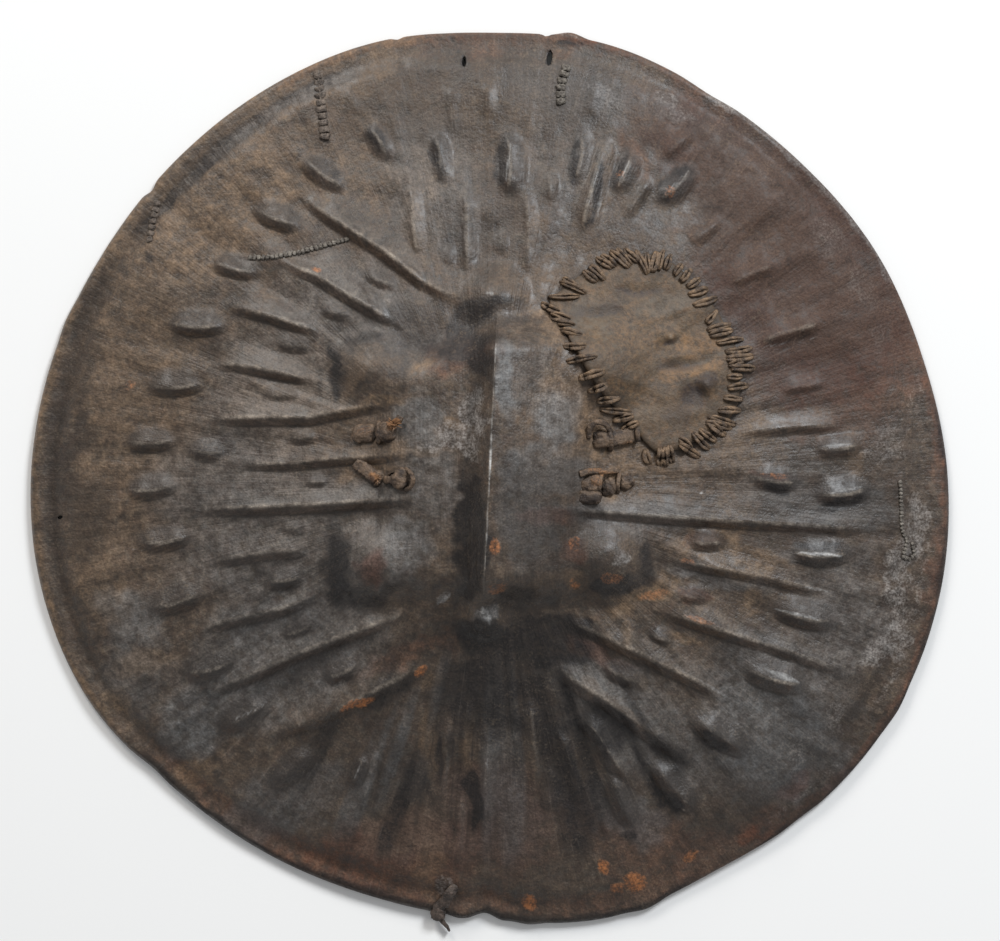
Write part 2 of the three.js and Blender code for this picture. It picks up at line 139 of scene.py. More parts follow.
def body_height(x, y):
    """The dished round with its boss, domes, peak and nose, before the ribs are raised."""
    bearing = np.degrees(np.arctan2(y, x))
    share = np.hypot(x, y) / edge_radius(bearing)
    knots = np.array(BODY_PROFILE, float)
    z = np.interp(share, knots[:, 0], knots[:, 1])
    z = z + block_height(x, y) + bump(x, y, *TOP_PEAK) + bump(x, y, *NOSE)
    for dome in DOMES:
        z = z + bump(x, y, *dome)
    inset = (1 - share) * edge_radius(bearing)
    for at, spread, depth, distance in RIM_TROUGHS:
        off = np.abs(np.mod(bearing - at + 180, 360) - 180)
        dip = np.exp(-((inset - distance) / 6.5) ** 2) - 0.55 * np.exp(-((inset - 0.35 * distance) / 5) ** 2)
        z = z - depth * smooth(1.3 - off / spread) * dip
    return z


# Hammered crests as (points from one end to the other), height, width of the
# side to the left of the way they run, width of the side to the right.
RIBS = [
    ([(-145, 208), (-114, 186), (-77, 162), (-48, 139), (-15, 122)], 7, 15, 7),
    ([(-158, 158), (-125, 144), (-95, 125), (-60, 105)], 6, 13, 7),
    ([(-195, 124), (-160, 115), (-117, 101)], 5.5, 12, 6),
    ([(-206, 80), (-185, 80), (-160, 75), (-122, 67)], 5.5, 12, 6),
    ([(-216, 40), (-175, 41), (-130, 41), (-100, 47), (-62, 52)], 6, 13, 7),
    ([(-190, 4), (-172, 7), (-140, 8), (-112, 11), (-78, 13), (-40, 17)], 4.5, 10, 6),
    ([(-226, -27), (-200, -25), (-155, -23), (-112, -21), (-70, -18), (-36, -18)], 6.5, 12, 7),
    ([(-212, -64), (-185, -60), (-160, -56), (-125, -54)], 5, 12, 7),
    ([(-215, -116), (-190, -106), (-150, -97), (-124, -86)], 6, 13, 7),
    ([(-220, -166), (-197, -156), (-172, -145), (-137, -129), (-96, -113), (-64, -101), (-40, -92)],
     7.5, 16, 7),
    ([(-176, -198), (-150, -186), (-118, -175), (-88, -159), (-62, -146), (-40, -134)], 7, 15, 8),
    ([(32, -23), (80, -27), (130, -31), (174, -34), (228, -37), (262, -40), (297, -40)], 5, 14, 6),
    ([(122, -60), (165, -68), (205, -76), (250, -88)], 5, 13, 6),
    ([(108, -95), (138, -103), (168, -113), (205, -125), (240, -137), (274, -153)], 5.6, 14, 7),
    ([(50, -102), (85, -118), (123, -137), (150, -150), (176, -167)], 6.6, 15, 7),
    ([(34, -128), (60, -148), (88, -166), (116, -187), (142, -206), (160, -214)], 7.6, 15, 9),
    ([(60, -170), (78, -188), (92, -210), (106, -236)], 6, 8, 9),
    ([(174, 30), (220, 34), (266, 36)], 3.5, 9, 5),
    ([(193, 97), (215, 103), (246, 111)], 5, 13, 7),
    ([(173, 138), (190, 146), (211, 154)], 4, 10, 6),
    ([(211, 60), (228, 64), (248, 66)], 2.5, 6, 4),
    ([(66, 172), (70, 190), (75, 210), (80, 229), (86, 250)], 5.5, 6, 13),
    ([(97, 186), (107, 200), (118, 217)], 3, 5, 7),
    ([(126, 232), (138, 242), (150, 252)], 2.5, 6, 6),
    ([(146, 168), (171, 187)], 2.5, 5, 6),
    ([(-52, 150), (-56, 188), (-57, 216)], 4, 6, 10),
    ([(-16, 138), (-17, 180), (-17, 216)], 4, 5, 10),
    ([(-28, 250), (-28, 288)], 2, 5, 8),
    ([(28, 140), (28, 180), (26, 214)], 3, 6, 9),
    ([(44, 196), (44, 226)], 3, 6, 7),
    ([(-2, 260), (-1, 290)], 1.6, 6, 8),
    ([(72, 262), (80, 288)], 1.6, 6, 8),
    ([(-96, 262), (-106, 286)], 1.6, 8, 6),
    ([(-5, -268), (-4, -238), (-2, -205), (0, -176)], 6, 9, 11),
    ([(-26, -292), (-23, -262), (-21, -232)], 4.5, 6, 7),
    ([(33, -238), (32, -200), (30, -160)], 6, 12, 9),
    ([(-20, -222), (-18, -190), (-15, -160)], 4, 8, 7),
    ([(-36, -252), (-33, -215), (-30, -170)], 4, 8, 7),
    ([(-60, -252), (-56, -228), (-49, -200), (-44, -180)], 5, 8, 8),
    ([(-82, -226), (-72, -198), (-62, -168)], 4.5, 7, 9),
    ([(-96, -250), (-88, -225), (-80, -196)], 3, 7, 7),
    ([(66, -246), (62, -220), (54, -196), (46, -180)], 4, 9, 8),
    ([(-250, -200), (-225, -180), (-210, -172)], 2, 8, 6),
    ([(210, -186), (240, -200), (262, -214)], 2, 8, 6),
]

# Raised ovals: centre, length, bearing of the long axis, height, width of each side.
OVALS = [
    (-156, 188, 42, -22, 6, 12, 8), (-185, 151, 40, -13, 6, 12, 7),
    (-214, 109, 48, -3, 6.5, 13, 7), (-230, 65, 48, 2, 6.5, 14, 7),
    (-248, 24, 42, 3, 6, 12, 7), (-247, -10, 42, 6, 6, 12, 7),
    (-238, -48, 44, 6, 6, 12, 7), (-229, -92, 48, 16, 6, 13, 8),
    (-205, -141, 46, 14, 6.5, 13, 9), (-180, -176, 46, 28, 7, 14, 9),
    (-146, -215, 46, 42, 7, 13, 10),
    (-79, 141, 30, -20, 3.5, 8, 6), (-111, 117, 25, -12, 3, 7, 5),
    (-142, 94, 30, -6, 3, 9, 6), (-152, 58, 30, 0, 3, 8, 6),
    (-135, 27, 22, 0, 3, 7, 6), (-125, -5, 20, 0, 3, 7, 6),
    (-143, -38, 22, 0, 3, 7, 6), (-149, -76, 30, 8, 5.5, 10, 8),
    (-139, -113, 28, 20, 4.5, 9, 7), (-108, -143, 32, 22, 5, 10, 8),
    (-206, 17, 32, -6, 4, 10, 7),
    (-82, 243, 34, 120, 4.5, 8, 9), (-121, 220, 42, -36, 5, 11, 9),
    (-38, 231, 42, 96, 4.5, 6, 11), (13, 228, 54, 92, 5.5, 8, 14),
    (65, 232, 46, 82, 4, 6, 11), (98, 221, 36, 66, 4.5, 7, 11),
    (136, 212, 42, 45, 5.5, 9, 11),
    (255, 20, 38, 6, 4.5, 10, 7), (207, -4, 38, -8, 5, 11, 8),
    (258, -13, 46, 6, 7, 13, 8), (242, -58, 48, -1, 6.5, 12, 9),
    (230, -103, 56, -13, 6.5, 14, 9), (208, -148, 54, -17, 7.5, 15, 10),
    (169, -190, 54, -32, 8, 14, 10), (136, -229, 52, -50, 8.5, 13, 10),
    (97, -238, 52, -68, 7, 12, 9), (45, -230, 36, -88, 3.5, 9, 9),
    (157, -49, 28, 0, 5, 10, 8), (148, -88, 24, -8, 4, 9, 7),
    (123, -118, 22, -16, 4, 8, 6), (96, -145, 34, -26, 6, 10, 9),
    (-54, -224, 44, 70, 5, 7, 9), (-97, -217, 30, 68, 5.5, 7, 8),
    (128, 103, 20, 20, 2, 8, 8), (-30, 158, 16, 90, 2, 6, 7), (8, 168, 18, 90, 2, 6, 7),
]


def crest(x, y, points, height, left_width, right_width, fade=(0.3, 0.3), pinch=(1.9, 1.1)):
    """A pinched ridge along a line of points, with hollow flanks and dying ends."""
    pts = np.array(points, float)
    runs = np.hypot(*np.diff(pts, axis=0).T)
    total = runs.sum()
    reach = max(left_width, right_width) + 2
    out = np.zeros_like(x)
    near = ((x > pts[:, 0].min() - reach) & (x < pts[:, 0].max() + reach)
            & (y > pts[:, 1].min() - reach) & (y < pts[:, 1].max() + reach))
    if not near.any():
        return out
    px, py = x[near], y[near]
    best = np.full(px.shape, 1e9)
    side = np.zeros(px.shape)
    along = np.zeros(px.shape)
    walked = 0.0
    for (ax, ay), (bx, by), run in zip(pts[:-1], pts[1:], runs):
        ux, uy = (bx - ax) / run, (by - ay) / run
        t = np.clip((px - ax) * ux + (py - ay) * uy, 0, run)
        dx, dy = px - ax - t * ux, py - ay - t * uy
        d = np.hypot(dx, dy)
        closer = d < best
        best = np.where(closer, d, best)
        side = np.where(closer, ux * dy - uy * dx, side)
        along = np.where(closer, (walked + t) / total, along)
        walked += run
    ends = smooth(along / fade[0]) * smooth((1 - along) / fade[1])
    slim = 0.5 + 0.5 * np.sqrt(ends)
    off = np.sqrt(best ** 2 + 0.5) - 0.7
    upper = np.clip(1 - off / (left_width * slim), 0, 1) ** pinch[0]
    lower = np.clip(1 - off / (right_width * slim), 0, 1)
    lower = lower ** pinch[1] * smooth(lower / 0.4)
    uneven = 1 + 0.22 * dapple(px, py, 17, 12)
    out[near] = height * uneven * np.where(side > 0, upper, lower) * ends
    return out


def oval_points(cx, cy, length, bearing):
    """The oval's crest, bowed a little like a boat's keel."""
    ux, uy = math.cos(math.radians(bearing)), math.sin(math.radians(bearing))
    bow = 0.05 * length
    return [(cx + s * length * ux + bow * (1 - 8 * s * s) * uy,
             cy + s * length * uy - bow * (1 - 8 * s * s) * ux)
            for s in (-0.5, -0.3, -0.1, 0.1, 0.3, 0.5)]


def relief_height(x, y):
    """The ribs and ovals hammered up from behind."""
    z = np.zeros_like(x)
    for points, height, left_width, right_width in RIBS:
        z = np.maximum(z, crest(x, y, points, height, 1.7 * left_width, right_width,
                                (0.3, 0.3), (1.9, 1.25)))
    for cx, cy, length, bearing, height, left_width, right_width in OVALS:
        line = oval_points(cx, cy, length, bearing)
        z = np.maximum(z, crest(x, y, line, 0.95 * height, 1.1 * left_width, 0.95 * right_width,
                                (0.32, 0.32), (1.0, 0.9)))
    return z


def fold_height(x, y):
    """Soft folds the hide dried into, running out from the boss."""
    r = np.hypot(x, y)
    c, s = x / np.maximum(r, 1), y / np.maximum(r, 1)
    folds = 1.5 * dapple(10 * c + r / 120, 10 * s, 1, 26) + 0.9 * dapple(23 * c, 23 * s + r / 90, 1, 27)
    folds = folds + 0.9 * smooth((-y - 100) / 80) * dapple(36 * c, 36 * s + r / 80, 1, 28)
    return folds * smooth((r - 95) / 50) * smooth((318 - r) / 60)


def hammering(x, y):
    """Slow unevenness of hand-worked hide, kept off the resting edge."""
    r = np.hypot(x, y)
    inner = smooth((335 - r) / 60)
    z = 1.3 * dapple(x, y, 46, 3) + 0.7 * dapple(x, y, 19, 4) + 0.35 * dapple(x, y, 8, 5)
    return (z + fold_height(x, y)) * (0.25 + 0.75 * inner)


def face_height(x, y):
    """The height of the shield's face."""
    return body_height(x, y) + relief_height(x, y) + hammering(x, y)


def ring_points(share, count):
    """Points evenly spaced round the shield, at a share of the way out to its edge."""
    bearing = np.degrees(np.arange(count) * 2 * np.pi / count)
    r = share * edge_radius(bearing)
    return r * np.cos(np.radians(bearing)), r * np.sin(np.radians(bearing))


def joined_rings(rings):
    """Faces between rings of different numbers of points, each starting at +X."""
    faces = []
    start = 0
    for k in range(1, len(rings)):
        n, m = rings[k - 1], rings[k]
        top, low = start, start + n
        i = j = 0
        while i < n or j < m:
            if n > 1 and i < n and (j == m or m == 1 or (i + 0.5) / n < (j + 0.5) / m):
                faces.append((top + i % n, low + j % m, top + (i + 1) % n))
                i += 1
                if m == 1 and i == n:
                    break
            else:
                faces.append((top + i % n, low + j % m, low + (j + 1) % m))
                j += 1
                if n == 1 and j == m:
                    break
        start += n
    return faces


def make_mesh(name, points, faces, material):
    """A piece from its points and faces, with every face turned outwards."""
    mesh = bpy.data.meshes.new(name)
    mesh.from_pydata([tuple(p) for p in points], [], faces)
    shape = bmesh.new()
    shape.from_mesh(mesh)
    bmesh.ops.recalc_face_normals(shape, faces=shape.faces)
    shape.to_mesh(mesh)
    shape.free()
    mesh.materials.append(material)
    mesh.shade_smooth()
    piece = bpy.data.objects.new(name, mesh)
    bpy.context.scene.collection.objects.link(piece)
    return piece


def linear(hex_colour):
    """An sRGB hex colour as linear RGBA."""
    channels = [int(hex_colour[i:i + 2], 16) / 255 for i in (1, 3, 5)]
    return (*[c / 12.92 if c <= 0.04045 else ((c + 0.055) / 1.055) ** 2.4 for c in channels], 1.0)


def add_node(tree, kind, links=None, **settings):
    """A node with its settings; each input is a value, an output, or a node for its first output."""
    node = tree.nodes.new("ShaderNode" + kind)
    for key, value in settings.items():
        setattr(node, key, value)
    for key, value in (links or {}).items():
        if isinstance(value, bpy.types.Node):
            value = value.outputs[0]
        if isinstance(value, bpy.types.NodeSocket):
            tree.links.new(value, node.inputs[key])
        else:
            node.inputs[key].default_value = value
    return node


def new_material(name):
    """A material with an empty node tree, and that tree."""
    material = bpy.data.materials.new(name)
    material.use_nodes = True
    material.node_tree.nodes.clear()
    return material, material.node_tree


def hide_points():
    """All points of the closed hide: face, turned edge, back."""
    columns, counts = [], []

    def add(x, y, z):
        columns.append(np.stack([x, y, z], 1))
        counts.append(len(x))

    origin = np.zeros(1)
    add(origin, origin, face_height(origin, origin))
    for share in (0.003, *np.linspace(0.012, 0.27, 30), *np.linspace(0.28, 0.985, FACE_RINGS), 0.992):
        x, y = ring_points(share, FACE_SPOKES if share > 0.275 else FACE_SPOKES // 2 if share > 0.1 else 120)
        add(x, y, face_height(x, y))
    for share, z in ((0.998, 4.9), (1.0, 3.4), (0.9985, 1.6), (0.994, 0.5), (0.985, 0.3)):
        x, y = ring_points(share, FACE_SPOKES)
        bearing = np.degrees(np.arctan2(y, x))
        lift = 1.2 * smooth(1 - np.abs(np.mod(bearing - 318 + 180, 360) - 180) / 50)
        add(x, y, z + lift + 0.35 * dapple(x, y, 14, 9) * (z > 1))
    for share in np.linspace(0.955, 0.012, BACK_RINGS):
        x, y = ring_points(share, 240 if share > 0.3 else 80)
        add(x, y, back_height(x, y))
    add(origin, origin, back_height(origin, origin))
    return np.concatenate(columns), counts


def back_height(x, y):
    """The flesh side follows the boss and, more softly, the ribs hammered up into the face."""
    e = 2.0
    slope = np.hypot((body_height(x + e, y) - body_height(x - e, y)) / (2 * e),
                     (body_height(x, y + e) - body_height(x, y - e)) / (2 * e))
    thick = HIDE_THICKNESS * np.minimum(2.2, np.hypot(1, slope))
    return body_height(x, y) + 0.7 * relief_height(x, y) + 0.6 * dapple(x, y, 30, 11) - thick


def region(x, y, spots):
    """How far each point lies in a set of ragged ovals: x, y, half sizes, bearing, strength."""
    out = np.zeros_like(x)
    far_x, far_y = dapple(x, y, 19, 15), dapple(x, y, 19, 16)
    near_x, near_y = dapple(x, y, 6, 17), dapple(x, y, 6, 18)
    for cx, cy, a, b, bearing, strength in spots:
        c, s = math.cos(math.radians(bearing)), math.sin(math.radians(bearing))
        sway = min(9.0, 0.45 * min(a, b) + 0.08 * max(a, b))
        dx, dy = x - cx + sway * (far_x + 0.6 * near_x), y - cy + sway * (far_y + 0.6 * near_y)
        u, v = dx * c + dy * s, dy * c - dx * s
        out = np.maximum(out, strength * smooth((1.35 - np.hypot(u / a, v / b)) / 0.8))
    return out


# Where the hide has changed colour: ovals of dust, scuffing, old red-brown, bare orange hide and dark grease,
# with painted highlights among the scuffs and painted shade among the grease; then a painted grey sheen,
# painted highlight lines, and bands along the rim.
DUST_OCHRE = [
    (-262, 70, 50, 140, 0, 0.52), (-200, 190, 90, 50, 35, 0.62), (-120, 285, 70, 14, 20, 0.7),
    (-60, 250, 150, 50, 10, 0.3), (-88, 80, 17, 14, 10, 0.8), (-67, -257, 34, 20, 20, 0.5),
    (-48, 79, 10, 4, 30, 1.0), (-90, 50, 34, 3, 3, 1.0), (-80, 8, 30, 18, 0, 0.55),
    (-60, 12, 34, 4, 4, 0.8), (-140, 50, 60, 40, 0, 0.45), (60, 150, 50, 22, 15, 0.6),
    (-24, 34, 6, 9, 60, 0.8), (150, 20, 60, 40, 0, 0.35), (62, -78, 10, 9, 0, 0.9),
    (40, -80, 12, 8, 0, 0.5), (178, -58, 40, 16, -8, 0.8), (188, -96, 9, 12, 0, 0.95),
    (112, -88, 30, 9, 22, 1.0), (100, -112, 4, 14, 0, 0.8), (105, -150, 14, 5, -30, 0.9),
    (72, -155, 12, 5, -35, 0.9), (100, -172, 26, 4, -38, 0.9), (45, -128, 14, 4, -8, 0.7),
    (140, -118, 14, 4, -20, 0.8), (-48, 200, 14, 60, 4, 0.5), (-45, -285, 14, 26, 10, 0.6),
    (-46, -196, 8, 36, 0, 0.7), (-14, -196, 6, 22, -6, 0.8), (-45, -150, 12, 7, 0, 0.8),
    (-290, -60, 26, 70, 10, 0.5), (-255, -140, 24, 10, 15, 0.8), (-215, -225, 22, 16, 35, 0.6),
    (-275, -170, 14, 10, 0, 0.7), (36, 182, 8, 12, 0, 0.6), (30, 46, 26, 12, 0, 0.5),
    (48, 34, 14, 10, 0, 0.55), (268, 10, 12, 22, 10, 0.6), (215, 38, 50, 8, 5, 0.45),
    (92, 14, 34, 44, 0, 0.85), (64, 8, 40, 36, 0, 0.45), (62, 62, 30, 34, 0, 0.6),
    (50, 90, 14, 40, 20, 0.6), (64, 44, 26, 12, -30, 0.8), (110, 2, 26, 12, 0, 0.7),
    (120, 260, 50, 10, -25, 0.35), (190, 225, 50, 10, -40, 0.4), (195, 190, 70, 50, -45, 0.42),
    (245, 130, 46, 60, 15, 0.36),
]
# Pale grey scuffs, with painted highlights among them on the nose, the keel's lower corner, the right dome
# and the right ovals.
SCUFFS_AND_PAINTED_HIGHLIGHTS = [
    (306, -64, 16, 60, -8, 0.85), (296, -120, 12, 24, 16, 0.9), (283, -132, 16, 14, 30, 0.85),
    (292, 20, 22, 18, 0, 0.6), (318, 60, 9, 30, 0, 0.5), (255, -180, 16, 10, 40, 0.6),
    (225, -205, 10, 16, 0, 0.6), (82, 285, 22, 14, -20, 0.75), (132, 276, 14, 7, -20, 0.95),
    (140, 262, 22, 6, -10, 0.8), (165, 200, 26, 18, 20, 0.4), (250, 176, 16, 12, -40, 0.62),
    (272, 140, 9, 24, 22, 0.6), (285, 100, 8, 16, 10, 0.55), (-10, 44, 12, 16, 20, 1.0),
    (-20, 26, 18, 14, 0, 0.9), (58, 325, 12, 1.8, -4, 0.7), (16, 74, 12, 20, -6, 0.4),
    (48, 54, 26, 24, 30, 0.5), (46, 18, 8, 14, -10, 0.5), (-40, 18, 16, 5, 8, 0.7),
    (222, 66, 30, 9, 5, 0.4), (-30, -306, 8, 9, 0, 0.8), (-44, -18, 14, 60, -3, 0.3),
    (-34, -89, 9, 3.5, 24, 1.0), (-3, -99, 9, 8, 0, 1.0), (95, -60, 8, 5, 20, 0.9),
    (10, 300, 90, 20, 0, 0.2), (60, 190, 10, 30, 0, 0.35), (75, 204, 3, 15, -15, 0.9),
    (248, -6, 9, 5, 0, 0.6), (213, -145, 12, 4, -20, 0.4), (240, -84, 14, 2.5, -12, 0.5),
]
RED_BROWN = [
    (240, 150, 90, 120, 20, 0.84), (66, 320, 15, 3, -6, 1.0), (-24, 84, 16, 9, 0, 0.7),
    (-86, -70, 12, 12, 0, 0.9), (285, 70, 50, 24, 0, 0.5), (20, 320, 120, 12, 0, 0.35),
    (-100, -300, 150, 40, 20, 0.6), (150, -290, 130, 30, -22, 0.4), (335, -40, 9, 120, 0, 0.4),
    (58, -56, 12, 8, 0, 0.6), (0, -250, 60, 50, 0, 0.4), (205, -1, 14, 4, -8, 0.9),
    (40, -32, 20, 8, 0, 0.6), (165, 235, 70, 34, -38, 0.75), (190, 195, 50, 46, 0, 0.5),
    (156, -50, 14, 7, 0, 0.8), (148, -89, 12, 6, 0, 0.8), (225, -228, 16, 9, 30, 1.0),
    (-60, -130, 40, 10, 25, 0.4), (80, -130, 30, 8, -24, 0.7), (188, -268, 9, 7, 20, 1.0),
    (-20, 88, 30, 16, 0, 0.6), (104, 240, 10, 30, 30, 0.4), (230, 90, 40, 26, 10, 0.4),
]
RAW_ORANGE = [
    (-97, -167, 14, 3.2, 27, 1.0), (27, -316, 6, 7, 0, 1.0), (108, -302, 8, 9, 14, 1.0),
    (84, -290, 7, 5, -35, 0.9), (96, -305, 6, 5, 0, 0.75), (149, -281, 8, 4, 30, 0.6),
    (2, -50, 4, 7, 10, 0.65), (58, -50, 5, 7, 0, 0.45), (62, -79, 5, 5, 0, 0.55),
    (-50, -142, 6, 3, 35, 0.8), (206, 0, 12, 3, -8, 0.5), (88, -74, 10, 5, 0, 0.5),
    (-126, 148, 5, 3, -30, 0.75), (118, -88, 14, 5, 22, 0.5), (144, -64, 8, 3, -14, 0.5),
    (132, 208, 7, 5, 45, 0.45), (-264, 64, 6, 4, 60, 0.5), (152, -105, 14, 2.5, -18, 0.5),
    (96, 220, 4, 4, 0, 0.4), (5, -80, 8, 6, 0, 0.5),
]
# Dark grease, and painted shade under ovals and ribs, on the keel's steep left side, below the nose, under
# the top peak, round the domes and over the lower half.
GREASE_AND_PAINTED_SHADE = [
    (-6, -122, 26, 17, -10, 1.0), (30, -126, 46, 16, -12, 1.0), (0, -160, 54, 34, 0, 0.85),
    (82, -182, 26, 22, -45, 0.8), (-14, -42, 9, 54, -3, 1.0), (-13, -60, 12, 30, -3, 1.0),
    (-17, 93, 30, 13, 14, 1.0), (-6, 82, 11, 17, 14, 1.0), (42, -30, 36, 50, 0, 0.45),
    (240, 150, 95, 120, 0, 0.6), (150, 240, 60, 34, -38, 0.55), (-262, 90, 50, 100, 0, 0.2),
    (78, 210, 30, 4, 80, 1.0), (62, 229, 20, 3.5, 85, 0.9), (96, 224, 18, 5, 62, 0.9),
    (136, 215, 20, 6, 42, 0.9), (9, 230, 24, 4, 88, 0.8), (-40, 231, 20, 4.5, 96, 0.8),
    (-84, 245, 16, 5, 118, 0.7), (-250, 160, 4, 4, 0, 0.9), (-19, 304, 5, 2.4, 88, 0.9),
    (44, 307, 7, 3, 82, 0.9), (0, 275, 150, 46, 0, 0.42), (192, 200, 76, 62, -45, 0.6),
    (250, 0, 70, 90, 0, 0.34), (40, 172, 110, 50, 0, 0.36), (60, -60, 50, 40, 0, 0.5),
    (20, -92, 30, 14, 0, 0.7), (44, -112, 40, 10, -10, 0.8), (-9, 62, 5, 24, -3, 0.5),
    (-9, 113, 28, 11, 34, 0.9), (7, 124, 12, 8, 20, 1.0), (20, 109, 22, 4, 3, 0.5),
    (-52, 112, 26, 15, 15, 0.5), (-45, 99, 24, 9, 10, 0.6), (-88, 82, 30, 26, 0, 0.4),
    (-34, 96, 30, 5, 6, 0.7), (-110, -66, 9, 30, 0, 1.0), (-84, -88, 28, 8, 8, 0.7),
    (-108, 70, 9, 9, 30, 0.7), (-113, 72, 5, 24, 8, 1.0), (-92, 99, 20, 4, 10, 0.8),
    (-62, 74, 4, 18, 0, 0.5), (92, -78, 22, 9, 10, 1.0), (112, -62, 8, 20, 0, 0.8),
    (0, -230, 190, 90, 0, 0.35), (-305, 60, 10, 110, -3, 0.5), (-150, -260, 110, 30, 32, 0.28),
    (208, -11, 12, 5, -8, 0.9), (255, -22, 20, 5, 6, 1.0), (242, -51, 20, 4, 0, 0.8),
    (240, -66, 22, 5, 0, 0.7), (210, -230, 90, 50, 40, 0.4), (164, -194, 16, 6, -32, 1.0),
    (128, -238, 14, 9, -45, 1.0), (22, -192, 7, 40, 0, 0.6), (-12, -240, 6, 26, 3, 1.0),
    (66, -208, 6, 22, 12, 0.4), (-111, 218, 3.5, 3.5, 0, 0.9), (-70, -155, 30, 8, 30, 0.7),
    (100, -268, 8, 4, 0, 0.8), (60, 319, 13, 2.6, -4, 1.0), (-300, -34, 24, 30, 0, 0.5),
    (-36, -208, 4, 24, 0, 0.8), (-26, -185, 3, 30, 0, 0.7), (-48, -232, 4, 16, 14, 0.6),
    (-200, 18, 16, 7, 0, 0.5), (-150, 226, 12, 5, -40, 0.5), (60, -30, 20, 5, -6, 0.6),
    (130, -200, 26, 8, -38, 0.8),
]
# Painted sheen: a pale blue-grey where the greased hide reflects the light, on the boss, the folds and the
# flanks.
PAINTED_GREY_SHEEN = [
    (12, 66, 8, 30, 0, 0.8), (32, 66, 14, 26, 0, 0.3), (46, 40, 24, 24, 20, 0.8), (36, 2, 30, 16, 0, 0.6),
    (24, -36, 22, 34, 0, 0.45), (-50, 36, 18, 24, 0, 0.6), (-40, -10, 24, 34, 0, 0.5),
    (-66, -58, 24, 26, 0, 0.6), (240, -20, 60, 20, -6, 0.5), (215, -150, 60, 26, -22, 0.5),
    (250, -60, 40, 12, 0, 0.4), (170, -76, 40, 8, -10, 0.5), (70, 280, 60, 24, -10, 0.4),
    (150, 262, 50, 14, -35, 0.25), (-40, 210, 40, 60, 0, 0.4), (-100, 120, 60, 40, -30, 0.4),
    (-100, -20, 80, 18, 0, 0.35), (100, -30, 60, 12, -4, 0.5), (60, 236, 40, 40, 0, 0.25),
    (-30, -250, 100, 44, 0, 0.25), (110, -180, 90, 40, -35, 0.5), (96, -254, 36, 22, -30, 0.6),
    (-262, -108, 28, 26, 10, 0.6), (-215, -182, 34, 26, 30, 0.6), (-150, -240, 60, 26, 32, 0.45),
    (-258, -150, 30, 30, 20, 0.4), (-3, -100, 9, 8, 0, 0.9), (205, -190, 60, 50, -45, 0.7),
    (-150, -130, 90, 50, 30, 0.55), (-150, -60, 100, 40, 0, 0.45), (-190, -10, 70, 50, 0, 0.4),
    (-160, 60, 60, 50, 0, 0.35), (255, -110, 40, 50, 0, 0.5),
]
# Painted highlights, thin pale lines on crests, the keel, the nose, a corner and the peak: end, end, half
# width, strength.
PAINTED_HIGHLIGHT_LINES = [
    (242, 20, 268, 22, 1.1, 0.7), (223, -57, 262, -60, 1.3, 0.95), (207, -98, 243, -107, 1.2, 0.8),
    (200, -142, 228, -153, 2.4, 0.6), (243, -4, 256, -12, 2.0, 0.6), (243, -15, 278, -8, 1.1, 0.6),
    (-190, -181, -163, -168, 1.1, 0.6), (15, 242, 12, 214, 1.3, 0.55), (103, 233, 95, 211, 1.1, 0.6),
    (148, 224, 125, 202, 1.3, 0.55), (82, 208, 78, 186, 1.6, 0.5), (-94, -210, -99, -224, 1.1, 0.45),
    (-2, -205, -2, -218, 1.2, 0.45), (230, -82, 246, -86, 1.3, 0.55), (92, -57, 100, -63, 4.0, 0.4),
    (-5, -96, 0, -105, 4.5, 0.9), (-38, -93, -28, -86, 2.0, 0.7), (-3, 130, 3, 129, 1.2, 0.7),
    (151, -12, 153, -14, 0.8, 0.9), (180, -167, 150, -148, 1.6, 0.4), (-272, -54, -250, -56, 1.2, 0.4),
    (4.7, 92, 3.8, 78, 0.8, 0.6), (3.8, 80, 2.0, 40, 0.7, 0.4), (2.0, 44, -0.4, -14, 0.9, 0.9),
    (0, -8, -3.2, -66, 0.8, 0.55), (186, 90, 240, 100, 1.3, 0.4), (205, 130, 228, 138, 1.3, 0.4),
]


def oval_share(x, y):
    """How far each point lies on one of the ovals, whose tops are handled dark."""
    out = np.zeros_like(x)
    for cx, cy, length, bearing, height, left_width, right_width in OVALS:
        c, s = math.cos(math.radians(bearing)), math.sin(math.radians(bearing))
        u, v = (x - cx) * c + (y - cy) * s, (y - cy) * c - (x - cx) * s
        half = np.where(v > 0, left_width, right_width)
        inwards = smooth((1.15 - np.hypot(2 * u / length, v / half)) / 0.5)
        out = np.maximum(out, min(1.0, height / 5) * inwards)
    return out


def crest_highlight_lines(x, y):
    """The thin pale line along every crest, partly worn by hands and carrying, partly painted highlight."""
    out = np.zeros_like(x)
    for points, height, *_ in RIBS:
        out = np.maximum(out, crest(x, y, points, min(0.9, height / 7), 2.7, 2.2, (0.25, 0.25), (1, 1)))
    for cx, cy, length, bearing, height, *_ in OVALS:
        line = oval_points(cx, cy, length, bearing)
        out = np.maximum(out, crest(x, y, line, min(1.0, height / 6), 1.7, 1.4, (0.3, 0.3), (1, 1)))
    return out


def painted_highlight_lines(x, y):
    """How far each point lies on one of the painted highlight lines."""
    out = np.zeros_like(x)
    for ax, ay, bx, by, half, strength in PAINTED_HIGHLIGHT_LINES:
        run = math.hypot(bx - ax, by - ay)
        ux, uy = (bx - ax) / run, (by - ay) / run
        t = np.clip((x - ax) * ux + (y - ay) * uy, 0, run)
        d = np.hypot(x - ax - t * ux, y - ay - t * uy) / (half * (1.4 - np.abs(2 * t / run - 1)))
        out = np.maximum(out, strength * smooth(1.3 - d))
    return out
